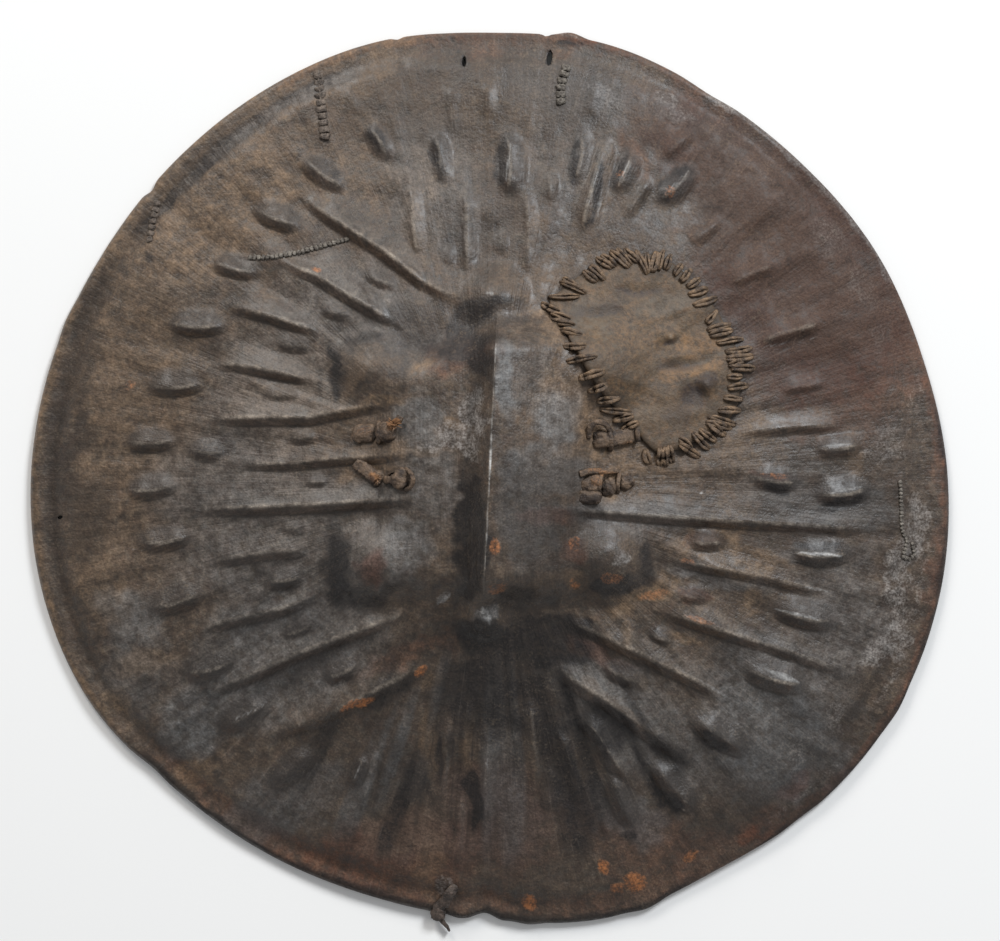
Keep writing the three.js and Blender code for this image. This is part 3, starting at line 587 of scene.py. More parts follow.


# Kind of stain or painted light (dark bands are dark edge lines and painted shade in the trough inside the
# rim, grey bands pale scuffs with painted highlight), bearings from and to, distance from the edge from and
# to, strength.
RIM_BANDS = [
    ("dark", 150, 200, 10, 22, 0.55), ("dark", 118, 150, 4, 9, 0.5), ("dark", 104, 150, 11, 23, 0.8),
    ("ochre", 96, 216, 0, 5, 0.8), ("ochre", 108, 150, 9, 15, 0.7), ("grey", 22, 64, 0, 4, 1.0),
    ("grey", 34, 46, 2, 8, 0.7), ("red", 56, 122, 0, 5, 0.5), ("red", -58, 22, 0, 6, 0.55),
    ("dark", -58, 12, 0, 2, 0.8), ("grey", -36, -4, 12, 20, 0.6), ("dark", -58, -20, 22, 31, 0.5),
    ("dark", 216, 300, 0, 5, 0.8), ("red", 216, 316, 5, 22, 0.35), ("grey", -56, -34, 8, 16, 0.5),
    ("dark", 80, 100, 2, 5, 0.5), ("grey", 86, 108, 6, 12, 0.4), ("ochre", 150, 176, 26, 30, 0.7),
    ("dark", 158, 172, 30, 33, 0.7),
]


def banded(x, y, kind):
    """How far each point lies in the rim bands of one kind."""
    bearing = np.degrees(np.arctan2(y, x))
    edge = edge_radius(bearing)
    inset = edge - np.hypot(x, y) + 2.5 * dapple(x, y, 16, 13) + 1.2 * dapple(x, y, 6, 14)
    out = np.zeros_like(x)
    for name, start, end, near, far, strength in RIM_BANDS:
        if name == kind:
            turn = np.mod(bearing - start, 360)
            span = end - start
            along = smooth(turn / 6) * smooth((span - turn) / 6) * (turn < span)
            across = smooth((inset - near + 3.5) / 6) * smooth((far - inset + 3.5) / 6)
            at_edge = smooth((far - inset + 2.5) / 3)
            out = np.maximum(out, strength * along * (across if near > 0 else at_edge))
    return out


def dried_hide(name):
    """Cowhide dried hard, greased and handled: dark, dull gloss, with scratches that run out from the boss,
    pores, pale crests that are partly worn and partly painted highlight, hollows painted darker, and painted
    sheen, highlight and shade."""
    material, tree = new_material(name)
    place = add_node(tree, "TexCoord").outputs["Object"]
    wear, stain, sides, painted_light_and_ovals = (
        add_node(tree, "SeparateColor", {0: add_node(tree, "Attribute", attribute_name=layer)})
        for layer in ("wear", "stain", "sides", "painted_light_and_ovals"))

    # Scratches run outwards over the field, and up and down the boss.
    axes = add_node(tree, "SeparateXYZ", {0: place})
    flat = add_node(tree, "CombineXYZ", {0: axes.outputs[0], 1: axes.outputs[1]})
    outward = add_node(tree, "VectorMath", {0: flat}, operation="NORMALIZE")
    radius = add_node(tree, "VectorMath", {0: flat}, operation="LENGTH").outputs["Value"]
    field = add_node(tree, "MapRange", {0: radius, 1: 0.085, 2: 0.125})

    def grooves(across, along, size, detail):
        """Fine lines a given size apart on the boss, and as many to the turn over the field."""
        rays = add_node(tree, "VectorMath", {0: outward, 3: across}, operation="SCALE")
        run = add_node(tree, "CombineXYZ", {
            2: add_node(tree, "Math", {0: radius, 1: along}, operation="MULTIPLY")})
        rays = add_node(tree, "VectorMath", {0: rays, 1: run}, operation="ADD")
        lines = add_node(tree, "VectorMath", {0: place, 1: (1 / size, 1 / (size * 14), 1 / (size * 6))},
                         operation="MULTIPLY")
        on_boss, on_field = (
            add_node(tree, "TexNoise", {"Vector": way, "Scale": 1.0, "Detail": detail, "Roughness": 0.6})
            for way in (lines, rays))
        return add_node(tree, "Mix", {0: field, 2: on_boss, 3: on_field})

    scratch = grooves(150.0, 30.0, 0.0014, 3.0)
    streak = grooves(30.0, 12.0, 0.006, 4.0)

    # Cloudy patches a hand wide, blotches, freckles and specks, by their real size in metres.
    patches, blotch, freckle, speck = (
        add_node(tree, "TexNoise", {"Vector": place, "Scale": 1 / size, "Detail": detail, "Roughness": rough})
        for size, detail, rough in ((0.055, 6.0, 0.62), (0.016, 6.0, 0.62),
                                    (0.0055, 5.0, 0.62), (0.0017, 3.0, 0.6)))
    pores = add_node(tree, "TexVoronoi", {"Vector": place, "Scale": 1 / 0.0021})
    crazing = add_node(tree, "TexVoronoi", {"Vector": place, "Scale": 1 / 0.0075}, feature="DISTANCE_TO_EDGE")

    broad = add_node(tree, "Math", {0: patches, 1: 0.55}, operation="MULTIPLY")
    close = add_node(tree, "Math", {0: blotch, 1: 0.45}, operation="MULTIPLY")
    base = add_node(tree, "ValToRGB", {0: add_node(tree, "Math", {0: broad, 1: close}, operation="ADD")})
    base.color_ramp.elements[0].position = 0.36
    base.color_ramp.elements[0].color = linear("#352c25")
    base.color_ramp.elements[1].position = 0.64
    base.color_ramp.elements[1].color = linear("#5a4b3e")
    colour = base.outputs[0]
    hues = add_node(tree, "SeparateColor", {0: add_node(tree, "TexNoise", {
        "Vector": place, "Scale": 1 / 0.006, "Detail": 5.0, "Roughness": 0.66}).outputs["Color"]})
    for drift, tone in zip(hues.outputs, ("#675949", "#504e4a", "#544238")):
        amount = add_node(tree, "MapRange", {0: drift, 1: 0.46, 2: 0.68, 4: 0.34})
        colour = add_node(tree, "Mix", {0: amount, 6: colour, 7: linear(tone)}, data_type="RGBA").outputs[2]

    # Tones laid over the hide where their share is high, with edges broken up by the grain.
    coarse = add_node(tree, "Math", {0: blotch, 1: freckle}, operation="ADD")
    fine = add_node(tree, "Math", {0: freckle, 1: speck}, operation="ADD")
    cloud = add_node(tree, "MapRange", {0: coarse, 1: 0.74, 2: 1.26})
    crumb = add_node(tree, "MapRange", {0: fine, 1: 0.76, 2: 1.24})
    # Painted light among these tones: the grey sheen, the highlight and shade on the flanks, the scuffs'
    # highlights, the shade among the dark grease, the pale crests' highlight and the highlight lines.
    for share, tone, breaks, low, high, most in (
            (stain.outputs["Blue"], "#613a27", cloud, 0.12, 1.10, 0.84),
            (stain.outputs["Red"], "#78614a", cloud, 0.12, 1.30, 0.75),
            (painted_light_and_ovals.outputs["Red"], "#636566", cloud, 0.12, 1.15, 0.78),
            (painted_light_and_ovals.outputs["Blue"], "#352f2b", cloud, 0.05, 1.10, 0.8),
            (sides.outputs["Green"], "#5d5a56", cloud, 0.25, 1.40, 0.35),
            (sides.outputs["Blue"], "#4c382a", cloud, 0.25, 1.50, 0.5),
            (stain.outputs["Green"], "#8b8682", crumb, 0.50, 1.35, 0.75),
            (wear.outputs["Green"], "#2b231d", crumb, 0.20, 1.20, 0.7),
            (wear.outputs["Blue"], "#1d1918", cloud, 0.15, 0.95, 0.92),
            (wear.outputs["Red"], "#958a7d", cloud, 0.25, 1.20, 0.52),
            (painted_light_and_ovals.outputs["Green"], "#adacaa", cloud, 0.25, 1.15, 0.72),
            (sides.outputs["Red"], "#9c6238", crumb, 0.30, 1.05, 0.9)):
        ragged = add_node(tree, "Math", {0: breaks, 1: 0.5}, operation="ADD")
        broken = add_node(tree, "Math", {0: share, 1: ragged}, operation="MULTIPLY")
        amount = add_node(tree, "MapRange", {0: broken, 1: low, 2: high, 4: most})
        colour = add_node(tree, "Mix", {0: amount, 6: colour, 7: linear(tone)}, data_type="RGBA").outputs[2]

    # The grain lightens and darkens every tone: pattern, low, high, darkest, lightest.
    for pattern, low, high, darkest, lightest in (
            (freckle, 0.36, 0.64, 0.74, 1.26), (speck, 0.34, 0.66, 0.76, 1.24),
            (streak, 0.34, 0.66, 0.84, 1.16), (scratch, 0.34, 0.66, 0.93, 1.07),
            (blotch, 0.36, 0.64, 0.84, 1.16)):
        shade = add_node(tree, "MapRange", {0: pattern, 1: low, 2: high, 3: darkest, 4: lightest})
        colour = add_node(tree, "VectorMath", {0: colour, 3: shade}, operation="SCALE").outputs[0]

    # Pale scratches and pale crumbs of dust, each only in some of the clouds.
    for tone, pattern, low, high, most, where in (("#8d8174", scratch, 0.60, 0.74, 0.16, blotch),
                                                  ("#7f6f5b", crumb, 0.66, 0.96, 0.22, patches)):
        amount = add_node(tree, "MapRange", {0: pattern, 1: low, 2: high, 4: most})
        within = add_node(tree, "MapRange", {0: where, 1: 0.42, 2: 0.60})
        both = add_node(tree, "Math", {0: amount, 1: within}, operation="MULTIPLY")
        colour = add_node(tree, "Mix", {0: both, 6: colour, 7: linear(tone)}, data_type="RGBA").outputs[2]

    # Pores, fine cracks, scratches, freckled lumps and slow swells, one bump on the next.
    cracked = add_node(tree, "MapRange", {0: crazing, 1: 0.0, 2: 0.05})
    furrowed = add_node(tree, "MapRange", {0: patches, 1: 0.4, 2: 0.6, 3: 0.04, 4: 0.26})
    relief = add_node(tree, "Bump", {"Height": pores, "Strength": 0.30, "Distance": 0.0006})
    for pattern, strength, deep in ((cracked, 0.12, 0.0006), (scratch, furrowed, 0.0010),
                                    (freckle, 0.55, 0.0018), (streak, 0.35, 0.0035)):
        relief = add_node(tree, "Bump", {"Height": pattern, "Strength": strength, "Distance": deep,
                                         "Normal": relief})

    # Grease shines in the clouds; where the red-brown stain has eaten it away, the hide is dull.
    dulled = add_node(tree, "MapRange", {0: stain.outputs["Blue"], 1: 0.2, 2: 1.0, 4: 0.24})
    handled = add_node(tree, "MapRange", {0: cloud, 1: 0.1, 2: 0.9, 3: 0.38, 4: 0.58})
    greased = add_node(tree, "MapRange", {0: cloud, 1: 0.2, 2: 0.8, 3: 0.24, 4: 0.0})
    kept = add_node(tree, "MapRange", {0: dulled, 1: 0.0, 2: 0.24, 3: 1.0, 4: 0.0})
    skin = add_node(tree, "BsdfPrincipled", {
        "Base Color": colour,
        "Roughness": add_node(tree, "Math", {0: handled, 1: dulled}, operation="ADD"),
        "IOR": 1.5, "Specular IOR Level": 0.4,
        "Coat Weight": add_node(tree, "Math", {0: greased, 1: kept}, operation="MULTIPLY"),
        "Coat Roughness": 0.30, "Coat IOR": 1.47,
        "Normal": relief})
    add_node(tree, "OutputMaterial", {"Surface": skin})
    return material


# The line where the repair patch is sewn down; the hide is painted darker along it.
PATCH_EDGE = [(43, 122), (52, 133), (70, 146), (92, 155), (112, 160), (130, 155), (146, 142),
              (160, 127), (171, 108), (180, 88), (182, 67), (179, 49), (169, 35), (152, 26),
              (137, 18), (122, 15), (109, 25), (98, 39), (83, 54), (71, 71), (62, 87), (53, 106)]


def closed_curve(corners, count):
    """A smooth closed line through the corners, evenly divided."""
    pts = np.array(corners, float)
    n = len(pts)
    place = np.linspace(0, n, 40 * n, endpoint=False)
    i, t = place.astype(int), (place % 1)[:, None]
    a, b, c, d = (pts[(i + k) % n] for k in (-1, 0, 1, 2))
    line = b + 0.5 * t * (c - a + t * (2 * a - 5 * b + 4 * c - d + t * (3 * (b - c) + d - a)))
    run = np.concatenate([[0], np.cumsum(np.hypot(*np.diff(np.vstack([line, line[:1]]), axis=0).T))])
    at = np.linspace(0, run[-1], count, endpoint=False)
    whole = np.vstack([line, line[:1]])
    return np.stack([np.interp(at, run, whole[:, 0]), np.interp(at, run, whole[:, 1])], 1)


patch_rim = closed_curve(PATCH_EDGE, 260)
patch_rim += 0.5 * np.stack([dapple(patch_rim[:, 0], patch_rim[:, 1], 5, 22),
                             dapple(patch_rim[:, 0], patch_rim[:, 1], 5, 23)], 1)


def patch_distance(x, y):
    """Distance from each point to the line where the patch is sewn down."""
    line = patch_rim[::4]
    out = np.full(x.shape, 99.0)
    near = (x > 30) & (x < 205) & (y > -5) & (y < 178)
    away = np.hypot(x[near][:, None] - line[None, :, 0], y[near][:, None] - line[None, :, 1])
    out[near] = away.min(1)
    return out


def store_fields(piece, fields):
    """Stores named fields on the points, each as the red, green and blue of a colour."""
    for name, channels in fields.items():
        colours = np.ones((len(piece.data.vertices), 4), np.float32)
        for k, channel in enumerate(channels):
            colours[:, k] = channel
        store = piece.data.attributes.new(name, "FLOAT_COLOR", "POINT")
        store.data.foreach_set("color", colours.ravel())


def paint_wear_and_light(piece, x, y, height, relief):
    """Stores on the points where the hide is worn pale, stained and darker in its hollows, and where
    highlight, sheen and shade are painted.
    """
    e = 1.3
    here = height(x, y)
    east, west, north, south = height(x + e, y), height(x - e, y), height(x, y + e), height(x, y - e)
    bend = (east + west + north + south - 4 * here) / (e * e)
    # Pale crests, partly worn by handling and partly painted highlight.
    rubbed_and_highlit = 0.8 * smooth((-bend - 0.25) / 0.8) * smooth((np.hypot(x / 50, (y - 106) / 20) - 0.9) / 0.4)
    rubbed_and_highlit = np.maximum(rubbed_and_highlit, crest_highlight_lines(x, y) * (1 - 0.8 * smooth((-y - 150) / 50)))
    # Painted darker in the hollows and along the patch's edge.
    darker_hollows = smooth((bend - 0.06) / 0.45)
    raised = relief(x, y)
    # How far each flank of the relief turns towards the lights at the top right.
    toward_light = ((relief(x - e, y) - relief(x + e, y)) * 0.55
              + (relief(x, y - e) - relief(x, y + e)) * 0.83) / (2 * e)
    darker_by_patch_edge = smooth(1 - patch_distance(x, y) / 8)
    fold = fold_height(x, y)
    low_fold = smooth((-y - 100) / 70) * smooth((160 - np.abs(x)) / 60)
    # Painted highlight on flanks turned to the lights, painted shade on flanks turned away.
    painted_flank_highlight = smooth((toward_light - 0.06) / 0.4) * smooth(raised / 3) * (1 - oval_share(x, y))
    painted_flank_shade = smooth((-toward_light - 0.12) / 0.5)
    # Painted light stored here: grey sheen, also on fold tops; highlight lines; flank highlight and shade;
    # pale crests; shade among the grease and in the fold hollows.
    store_fields(piece, {
        "painted_light_and_ovals": (np.maximum(region(x, y, PAINTED_GREY_SHEEN), (0.18 + 0.4 * low_fold) * smooth(fold / 1.4)),
                 painted_highlight_lines(x, y), oval_share(x, y)),
        "wear": (rubbed_and_highlit, np.maximum(darker_hollows, darker_by_patch_edge),
                 np.maximum.reduce([region(x, y, GREASE_AND_PAINTED_SHADE), banded(x, y, "dark"),
                                    (0.22 + 0.65 * low_fold) * smooth(-fold / 1.4)])),
        "stain": (np.maximum(region(x, y, DUST_OCHRE), banded(x, y, "ochre")),
                  np.maximum(region(x, y, SCUFFS_AND_PAINTED_HIGHLIGHTS), banded(x, y, "grey")),
                  np.maximum(region(x, y, RED_BROWN), banded(x, y, "red"))),
        "sides": (region(x, y, RAW_ORANGE), painted_flank_highlight, painted_flank_shade),
    })


# The keel stands where the hide's own box puts it.
bearings = np.arange(0, 360, 5.0) - 3
outline = np.array([edge_radius(bearings) * np.cos(np.radians(bearings)),
                    edge_radius(bearings) * np.sin(np.radians(bearings))])
body_low, body_high = (np.array(corner) * 1000 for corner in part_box("shield_body"))
KEEL_PLACE = (body_low[:2] + body_high[:2]) / 2 - (outline.min(1) + outline.max(1)) / 2


def to_frame(points):
    """Millimetres from the keel to metres in the shield's frame."""
    points = np.array(points, float)
    points[:, 0] += KEEL_PLACE[0]
    points[:, 1] += KEEL_PLACE[1]
    return points / 1000


# Slots cut through the edge for hanging, and the grip's four holes: x, y, half width,
# half length, bearing of the length.
GRIP_HOLES = [(-74, 29), (-68, -3), (79, 27), (74, -12)]
OPENINGS = [(-19, 304, 1.5, 4.2, 88), (44, 307, 2.0, 6.2, 82), (-317, -32, 1.2, 2.2, 20),
            *[(x, y, 4.1, 4.1, 0) for x, y in GRIP_HOLES]]


def cut_openings(piece, openings):
    """Cuts every opening straight down through the hide, from well above to well below."""
    sides, above, below = 14, 150.0, -20.0
    points, faces = [], []
    for cx, cy, half_width, half_length, bearing in openings:
        turn = np.arange(sides) * 2 * np.pi / sides
        u, v = half_length * np.cos(turn), half_width * np.sin(turn)
        c, s = math.cos(math.radians(bearing)), math.sin(math.radians(bearing))
        x, y = cx + u * c - v * s, cy + u * s + v * c
        start = 2 * sides * len(points)
        points.append(np.concatenate([np.stack([x, y, np.full(sides, z)], 1) for z in (below, above)]))
        faces += [(start + i, start + (i + 1) % sides, start + sides + (i + 1) % sides, start + sides + i)
                  for i in range(sides)]
        faces += [tuple(start + i for i in range(sides - 1, -1, -1)),
                  tuple(start + i for i in range(sides, 2 * sides))]
    cutter = make_mesh("cutter", to_frame(np.concatenate(points)), faces, piece.data.materials[0])
    cut = piece.modifiers.new("openings", "BOOLEAN")
    cut.operation = "DIFFERENCE"
    cut.solver = "MANIFOLD"
    cut.object = cutter
    bpy.context.view_layer.objects.active = piece
    bpy.ops.object.modifier_apply(modifier=cut.name)
    bpy.data.objects.remove(cutter)


hide_local, ring_counts = hide_points()
hide_finish = dried_hide("greased_dry_hide")
hide = make_mesh("moulded_hide", to_frame(hide_local), joined_rings(ring_counts), hide_finish)
cut_openings(hide, OPENINGS)
hide_places = np.empty(3 * len(hide.data.vertices))
hide.data.vertices.foreach_get("co", hide_places)
hide_places = hide_places.reshape(-1, 3)[:, :2] * 1000 - KEEL_PLACE
paint_wear_and_light(hide, hide_places[:, 0], hide_places[:, 1], face_height, relief_height)
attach(hide, "root")
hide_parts("shield_body")

# ---------------------------------------------------------------------------
# The repair patch: an odd-shaped offcut of thinner hide laid over a worn place
# beside the keel, pressed down over what lies under it; its edge is knife cut.
PATCH_THICKNESS = 3.2
PATCH_CENTRE = np.array([118.0, 88.0])
PATCH_KNOBS = [(131, 99, 4.5, 2.4), (157, 65, 7.5, 5.0), (148, 56, 11, -2.4), (86, 88, 40, 2.5)]
PATCH_CREASES = [([(90, 134), (106, 131), (128, 134)], -1.5, 7, 5),
                 ([(62, 112), (82, 114), (100, 119)], -1.6, 8, 5),
                 ([(116, 78), (134, 77), (152, 81), (172, 87)], -1.6, 7, 5),
                 ([(108, 108), (128, 116), (150, 124)], 1.0, 8, 6),
                 ([(80, 72), (104, 66), (128, 58)], 1.2, 9, 7)]


def patch_relief(x, y):
    """The patch's own creases and knobs."""
    z = np.zeros_like(x)
    for points, height, left_width, right_width in PATCH_CREASES:
        z = z + crest(x, y, points, height, left_width, right_width, (0.3, 0.3), (1.2, 1.2))
    for cx, cy, radius, height in PATCH_KNOBS:
        z = z + bump(x, y, cx, cy, radius, height)
    return z


def patch_top(x, y):
    """The top of the patch as it lies pressed over the shield."""
    rise = PATCH_THICKNESS + patch_relief(x, y) + 0.5 * dapple(x, y, 9, 21)
    lying = face_height(x, y)
    return np.maximum(lying + 1.4, 0.6 * lying + 0.4 * body_height(x, y) + rise)


columns, counts = [], []
for share in (0, *np.linspace(0.03, 0.97, 34), 0.99):
    flat = PATCH_CENTRE + (share * (patch_rim - PATCH_CENTRE) if share else np.zeros((1, 2)))
    edge_drop = 0.9 * smooth((share - 0.95) / 0.04)
    columns.append(np.column_stack([flat, patch_top(flat[:, 0], flat[:, 1]) - edge_drop]))
    counts.append(len(flat))
for share, part in ((1.0, 0.62), (1.001, 0.3), (0.99, 0.06), (0.9, 0.04), (0.6, 0.04), (0.3, 0.04),
                    (0, 0.04)):
    flat = PATCH_CENTRE + (share * (patch_rim - PATCH_CENTRE) if share else np.zeros((1, 2)))
    low, high = face_height(flat[:, 0], flat[:, 1]) + 0.1, patch_top(flat[:, 0], flat[:, 1]) - 0.9
    columns.append(np.column_stack([flat, low + part * (high - low)]))
    counts.append(len(flat))
patch_local = np.concatenate(columns)


def patch_hide(name):
    """Thinner hide, less greased: ochre brown and matt, paler at the cut edge, dark on its knobs."""
    material, tree = new_material(name)
    place = add_node(tree, "TexCoord").outputs["Object"]
    wear, stain = (
        add_node(tree, "SeparateColor", {0: add_node(tree, "Attribute", attribute_name=layer)})
        for layer in ("wear", "stain"))
    clouds, specks = (
        add_node(tree, "TexNoise", {"Vector": place, "Scale": 1 / size, "Detail": detail, "Roughness": rough})
        for size, detail, rough in ((0.022, 7.0, 0.68), (0.004, 5.0, 0.7)))
    pores = add_node(tree, "TexVoronoi", {"Vector": place, "Scale": 1 / 0.0017})
    base = add_node(tree, "ValToRGB", {0: clouds})
    base.color_ramp.elements[0].position = 0.32
    base.color_ramp.elements[0].color = linear("#43372b")
    base.color_ramp.elements[1].position = 0.70
    base.color_ramp.elements[1].color = linear("#66523c")
    colour = base.outputs[0]
    hues = add_node(tree, "SeparateColor", {0: add_node(tree, "TexNoise", {
        "Vector": place, "Scale": 1 / 0.0045, "Detail": 6.0, "Roughness": 0.7}).outputs["Color"]})
    for drift, tone in zip(hues.outputs, ("#7b5d40", "#544d43", "#4a382b")):
        amount = add_node(tree, "MapRange", {0: drift, 1: 0.48, 2: 0.66, 4: 0.5})
        colour = add_node(tree, "Mix", {0: amount, 6: colour, 7: linear(tone)}, data_type="RGBA").outputs[2]
    mottle = add_node(tree, "MapRange", {0: specks, 1: 0.36, 2: 0.64, 3: 0.70, 4: 1.24})
    ragged = add_node(tree, "MapRange", {0: specks, 1: 0.34, 2: 0.66, 3: 0.4, 4: 1.6})
    colour = add_node(tree, "VectorMath", {0: colour, 3: mottle}, operation="SCALE").outputs[0]
    for share, tone, low, high, most in ((wear.outputs["Green"], "#33291f", 0.25, 1.2, 0.8),
                                         (stain.outputs["Red"], "#8a6640", 0.35, 1.5, 0.7),
                                         (stain.outputs["Green"], "#5f5a52", 0.25, 1.5, 0.6),
                                         (wear.outputs["Blue"], "#2e2524", 0.20, 1.2, 0.85),
                                         (wear.outputs["Red"], "#94826d", 0.45, 1.5, 0.7)):
        broken = add_node(tree, "Math", {0: share, 1: ragged}, operation="MULTIPLY")
        amount = add_node(tree, "MapRange", {0: broken, 1: low, 2: high, 4: most})
        colour = add_node(tree, "Mix", {0: amount, 6: colour, 7: linear(tone)}, data_type="RGBA").outputs[2]
    grain = add_node(tree, "Bump", {"Height": pores, "Strength": 0.3, "Distance": 0.0005})
    lumps = add_node(tree, "Bump", {"Height": specks, "Strength": 0.5, "Distance": 0.0014, "Normal": grain})
    skin = add_node(tree, "BsdfPrincipled", {"Base Color": colour, "Roughness": 0.58, "IOR": 1.5,
                                             "Specular IOR Level": 0.45, "Normal": lumps})
    add_node(tree, "OutputMaterial", {"Surface": skin})
    return material


def paint_patch(piece, x, y):
    """Stores where the patch is dark on its knobs, darker in its creases and pale at its edge."""
    e = 1.6
    here = patch_top(x, y)
    bend = (patch_top(x + e, y) + patch_top(x - e, y) + patch_top(x, y + e) + patch_top(x, y - e)
            - 4 * here) / (e * e)
    distance = patch_distance(x, y)
    dark = region(x, y, [(157, 65, 7, 7, 0, 1.0), (129, 97, 5, 4, 0, 0.8), (147, 55, 11, 8, 40, 0.9),
                         (109, 132, 22, 4, 3, 0.8), (78, 115, 20, 5, 10, 0.7), (135, 78, 18, 4, 5, 0.7),
                         (136, 46, 20, 8, 25, 0.5)])
    tan = region(x, y, [(148, 96, 18, 14, -10, 0.8), (144, 74, 24, 6, 8, 0.9), (106, 106, 26, 18, 0, 0.5),
                        (96, 62, 20, 6, -20, 0.5)])
    grey = region(x, y, [(130, 122, 26, 7, 8, 0.8), (70, 110, 16, 12, 10, 0.8), (120, 40, 20, 12, 0, 0.5),
                         (150, 82, 22, 3, 8, 0.7)])
    store_fields(piece, {
        "wear": (smooth((-bend - 0.15) / 0.6),
                 np.maximum(smooth((bend - 0.05) / 0.3), 0.75 * smooth(1 - distance / 9)), dark),
        "stain": (tan, grey, 0 * x),
    })


patch_finish = patch_hide("offcut_hide")
patch = make_mesh("offcut_patch", to_frame(patch_local), joined_rings(counts), patch_finish)
paint_patch(patch, patch_local[:, 0], patch_local[:, 1])
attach(patch, "root")
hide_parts("repair_patch")

# ---------------------------------------------------------------------------
# The patch lacing: one flat strip of raw hide whipped over the patch's edge,
# each turn coming up through the shield outside it and going down through the patch.
LACE_WIDTH = 5.6
LACE_TURNS = [          # outer end x, y, inner end x, y, going round from the left corner
    (37, 123, 50, 117), (42, 128, 65, 128), (50, 139, 70, 130), (53, 142, 64, 133),
    (68, 147, 78, 139), (72, 151, 83, 140), (77, 157, 89, 149), (81, 159, 91, 150),
    (87, 162, 101, 149), (92, 164, 103, 151), (98, 164, 108, 153), (106, 163, 114, 144),
    (114, 161, 114, 145), (121, 162, 118, 146), (127, 163, 122, 147), (132, 160, 127, 148),
    (140, 153, 134, 144), (147, 149, 138, 140), (153, 142, 143, 136), (159, 135, 144, 130),
    (166, 129, 147, 122), (165, 119, 157, 109), (176, 109, 157, 104), (177, 105, 159, 100),
    (185, 98, 164, 95), (191, 92, 170, 89), (192, 86, 171, 84), (185, 82, 173, 79),
    (193, 77, 174, 76), (183, 71, 172, 70), (188, 64, 172, 62), (184, 54, 169, 55),
    (182, 46, 165, 46), (179, 36, 157, 42), (176, 33, 155, 37), (171, 28, 157, 38),
    (164, 23, 151, 33), (159, 18, 146, 30), (152, 12, 136, 22), (146, 18, 136, 26),
    (132, 8, 129, 21), (127, 5, 126, 20), (122, 6, 122, 19), (115, 7, 112, 18),
    (94, 31, 107, 37), (88, 38, 103, 42), (78, 47, 102, 44), (76, 52, 94, 55),
    (70, 59, 84, 64), (63, 68, 82, 73), (54, 80, 77, 84), (52, 91, 69, 92),
    (50, 103, 66, 100), (44, 111, 61, 107), (43, 116, 58, 111)]


def swept(path, half_width, half_height, roll=0.0, sides=10, rough=0.0, seed=1):
    """A strip laid along a path: points and faces of a closed tube, softly square across."""
    path = np.array(path, float)
    count = len(path)
    ahead = np.gradient(path, axis=0)
    ahead /= np.linalg.norm(ahead, axis=1)[:, None]
    across = np.cross(ahead[0], (0, 0, 1.0))
    if abs(ahead[0, 2]) > 0.95:
        whole = path[-1] - path[0]
        level = math.hypot(whole[0], whole[1]) > 0.5 * np.linalg.norm(whole)
        across = np.cross(whole, (0, 0, 1.0)) if level else np.cross(ahead[0], (0, 1.0, 0))
    half_width, half_height, roll = (np.broadcast_to(np.asarray(v, float), count)
                                     for v in (half_width, half_height, roll))
    turn = np.arange(sides) * 2 * np.pi / sides
    flat, tall = (np.sign(f) * np.abs(f) ** 0.72 for f in (np.cos(turn), np.sin(turn)))
    points = []
    for k in range(count):
        across = across - ahead[k] * across.dot(ahead[k])
        across /= np.linalg.norm(across)
        above = np.cross(across, ahead[k])
        c, s = math.cos(math.radians(roll[k])), math.sin(math.radians(roll[k]))
        u, v = half_width[k] * flat, half_height[k] * tall
        u, v = u * c - v * s, u * s + v * c
        uneven = 1 + rough * dapple(turn * 2.2 + seed * 9.1, np.full(sides, k * 0.7 + seed * 3.3), 1.0, 31)
        points.append(path[k] + (u * uneven)[:, None] * across + (v * uneven)[:, None] * above)
    points = [path[:1], *points, path[-1:]]
    faces = []
    for k in range(count - 1):
        a, b = 1 + k * sides, 1 + (k + 1) * sides
        faces += [(a + i, a + (i + 1) % sides, b + (i + 1) % sides, b + i) for i in range(sides)]
    last = 1 + count * sides
    faces += [(0, 1 + (i + 1) % sides, 1 + i) for i in range(sides)]
    faces += [(last, last - sides + i, last - sides + (i + 1) % sides) for i in range(sides)]
    return np.concatenate(points), faces


def together(parts):
    """Several closed shapes as the points and faces of one piece."""
    points, faces, start = [], [], 0
    for some, joined in parts:
        points.append(some)
        faces += [tuple(i + start for i in face) for face in joined]
        start += len(some)
    return np.concatenate(points), faces


def inside_patch(x, y):
    """Whether each point lies within the patch's edge."""
    bearing = np.arctan2(y - PATCH_CENTRE[1], x - PATCH_CENTRE[0])
    rim = patch_rim - PATCH_CENTRE
    rim_bearing = np.arctan2(rim[:, 1], rim[:, 0])
    order = np.argsort(rim_bearing)
    reach = np.interp(bearing, rim_bearing[order], np.hypot(rim[order, 0], rim[order, 1]), period=2 * np.pi)
    return np.hypot(x - PATCH_CENTRE[0], y - PATCH_CENTRE[1]) < reach + 0.6


def outer_height(x, y):
    """The topmost hide at a place: the patch where it lies, else the shield's face."""
    return np.where(inside_patch(x, y), patch_top(x, y), face_height(x, y))


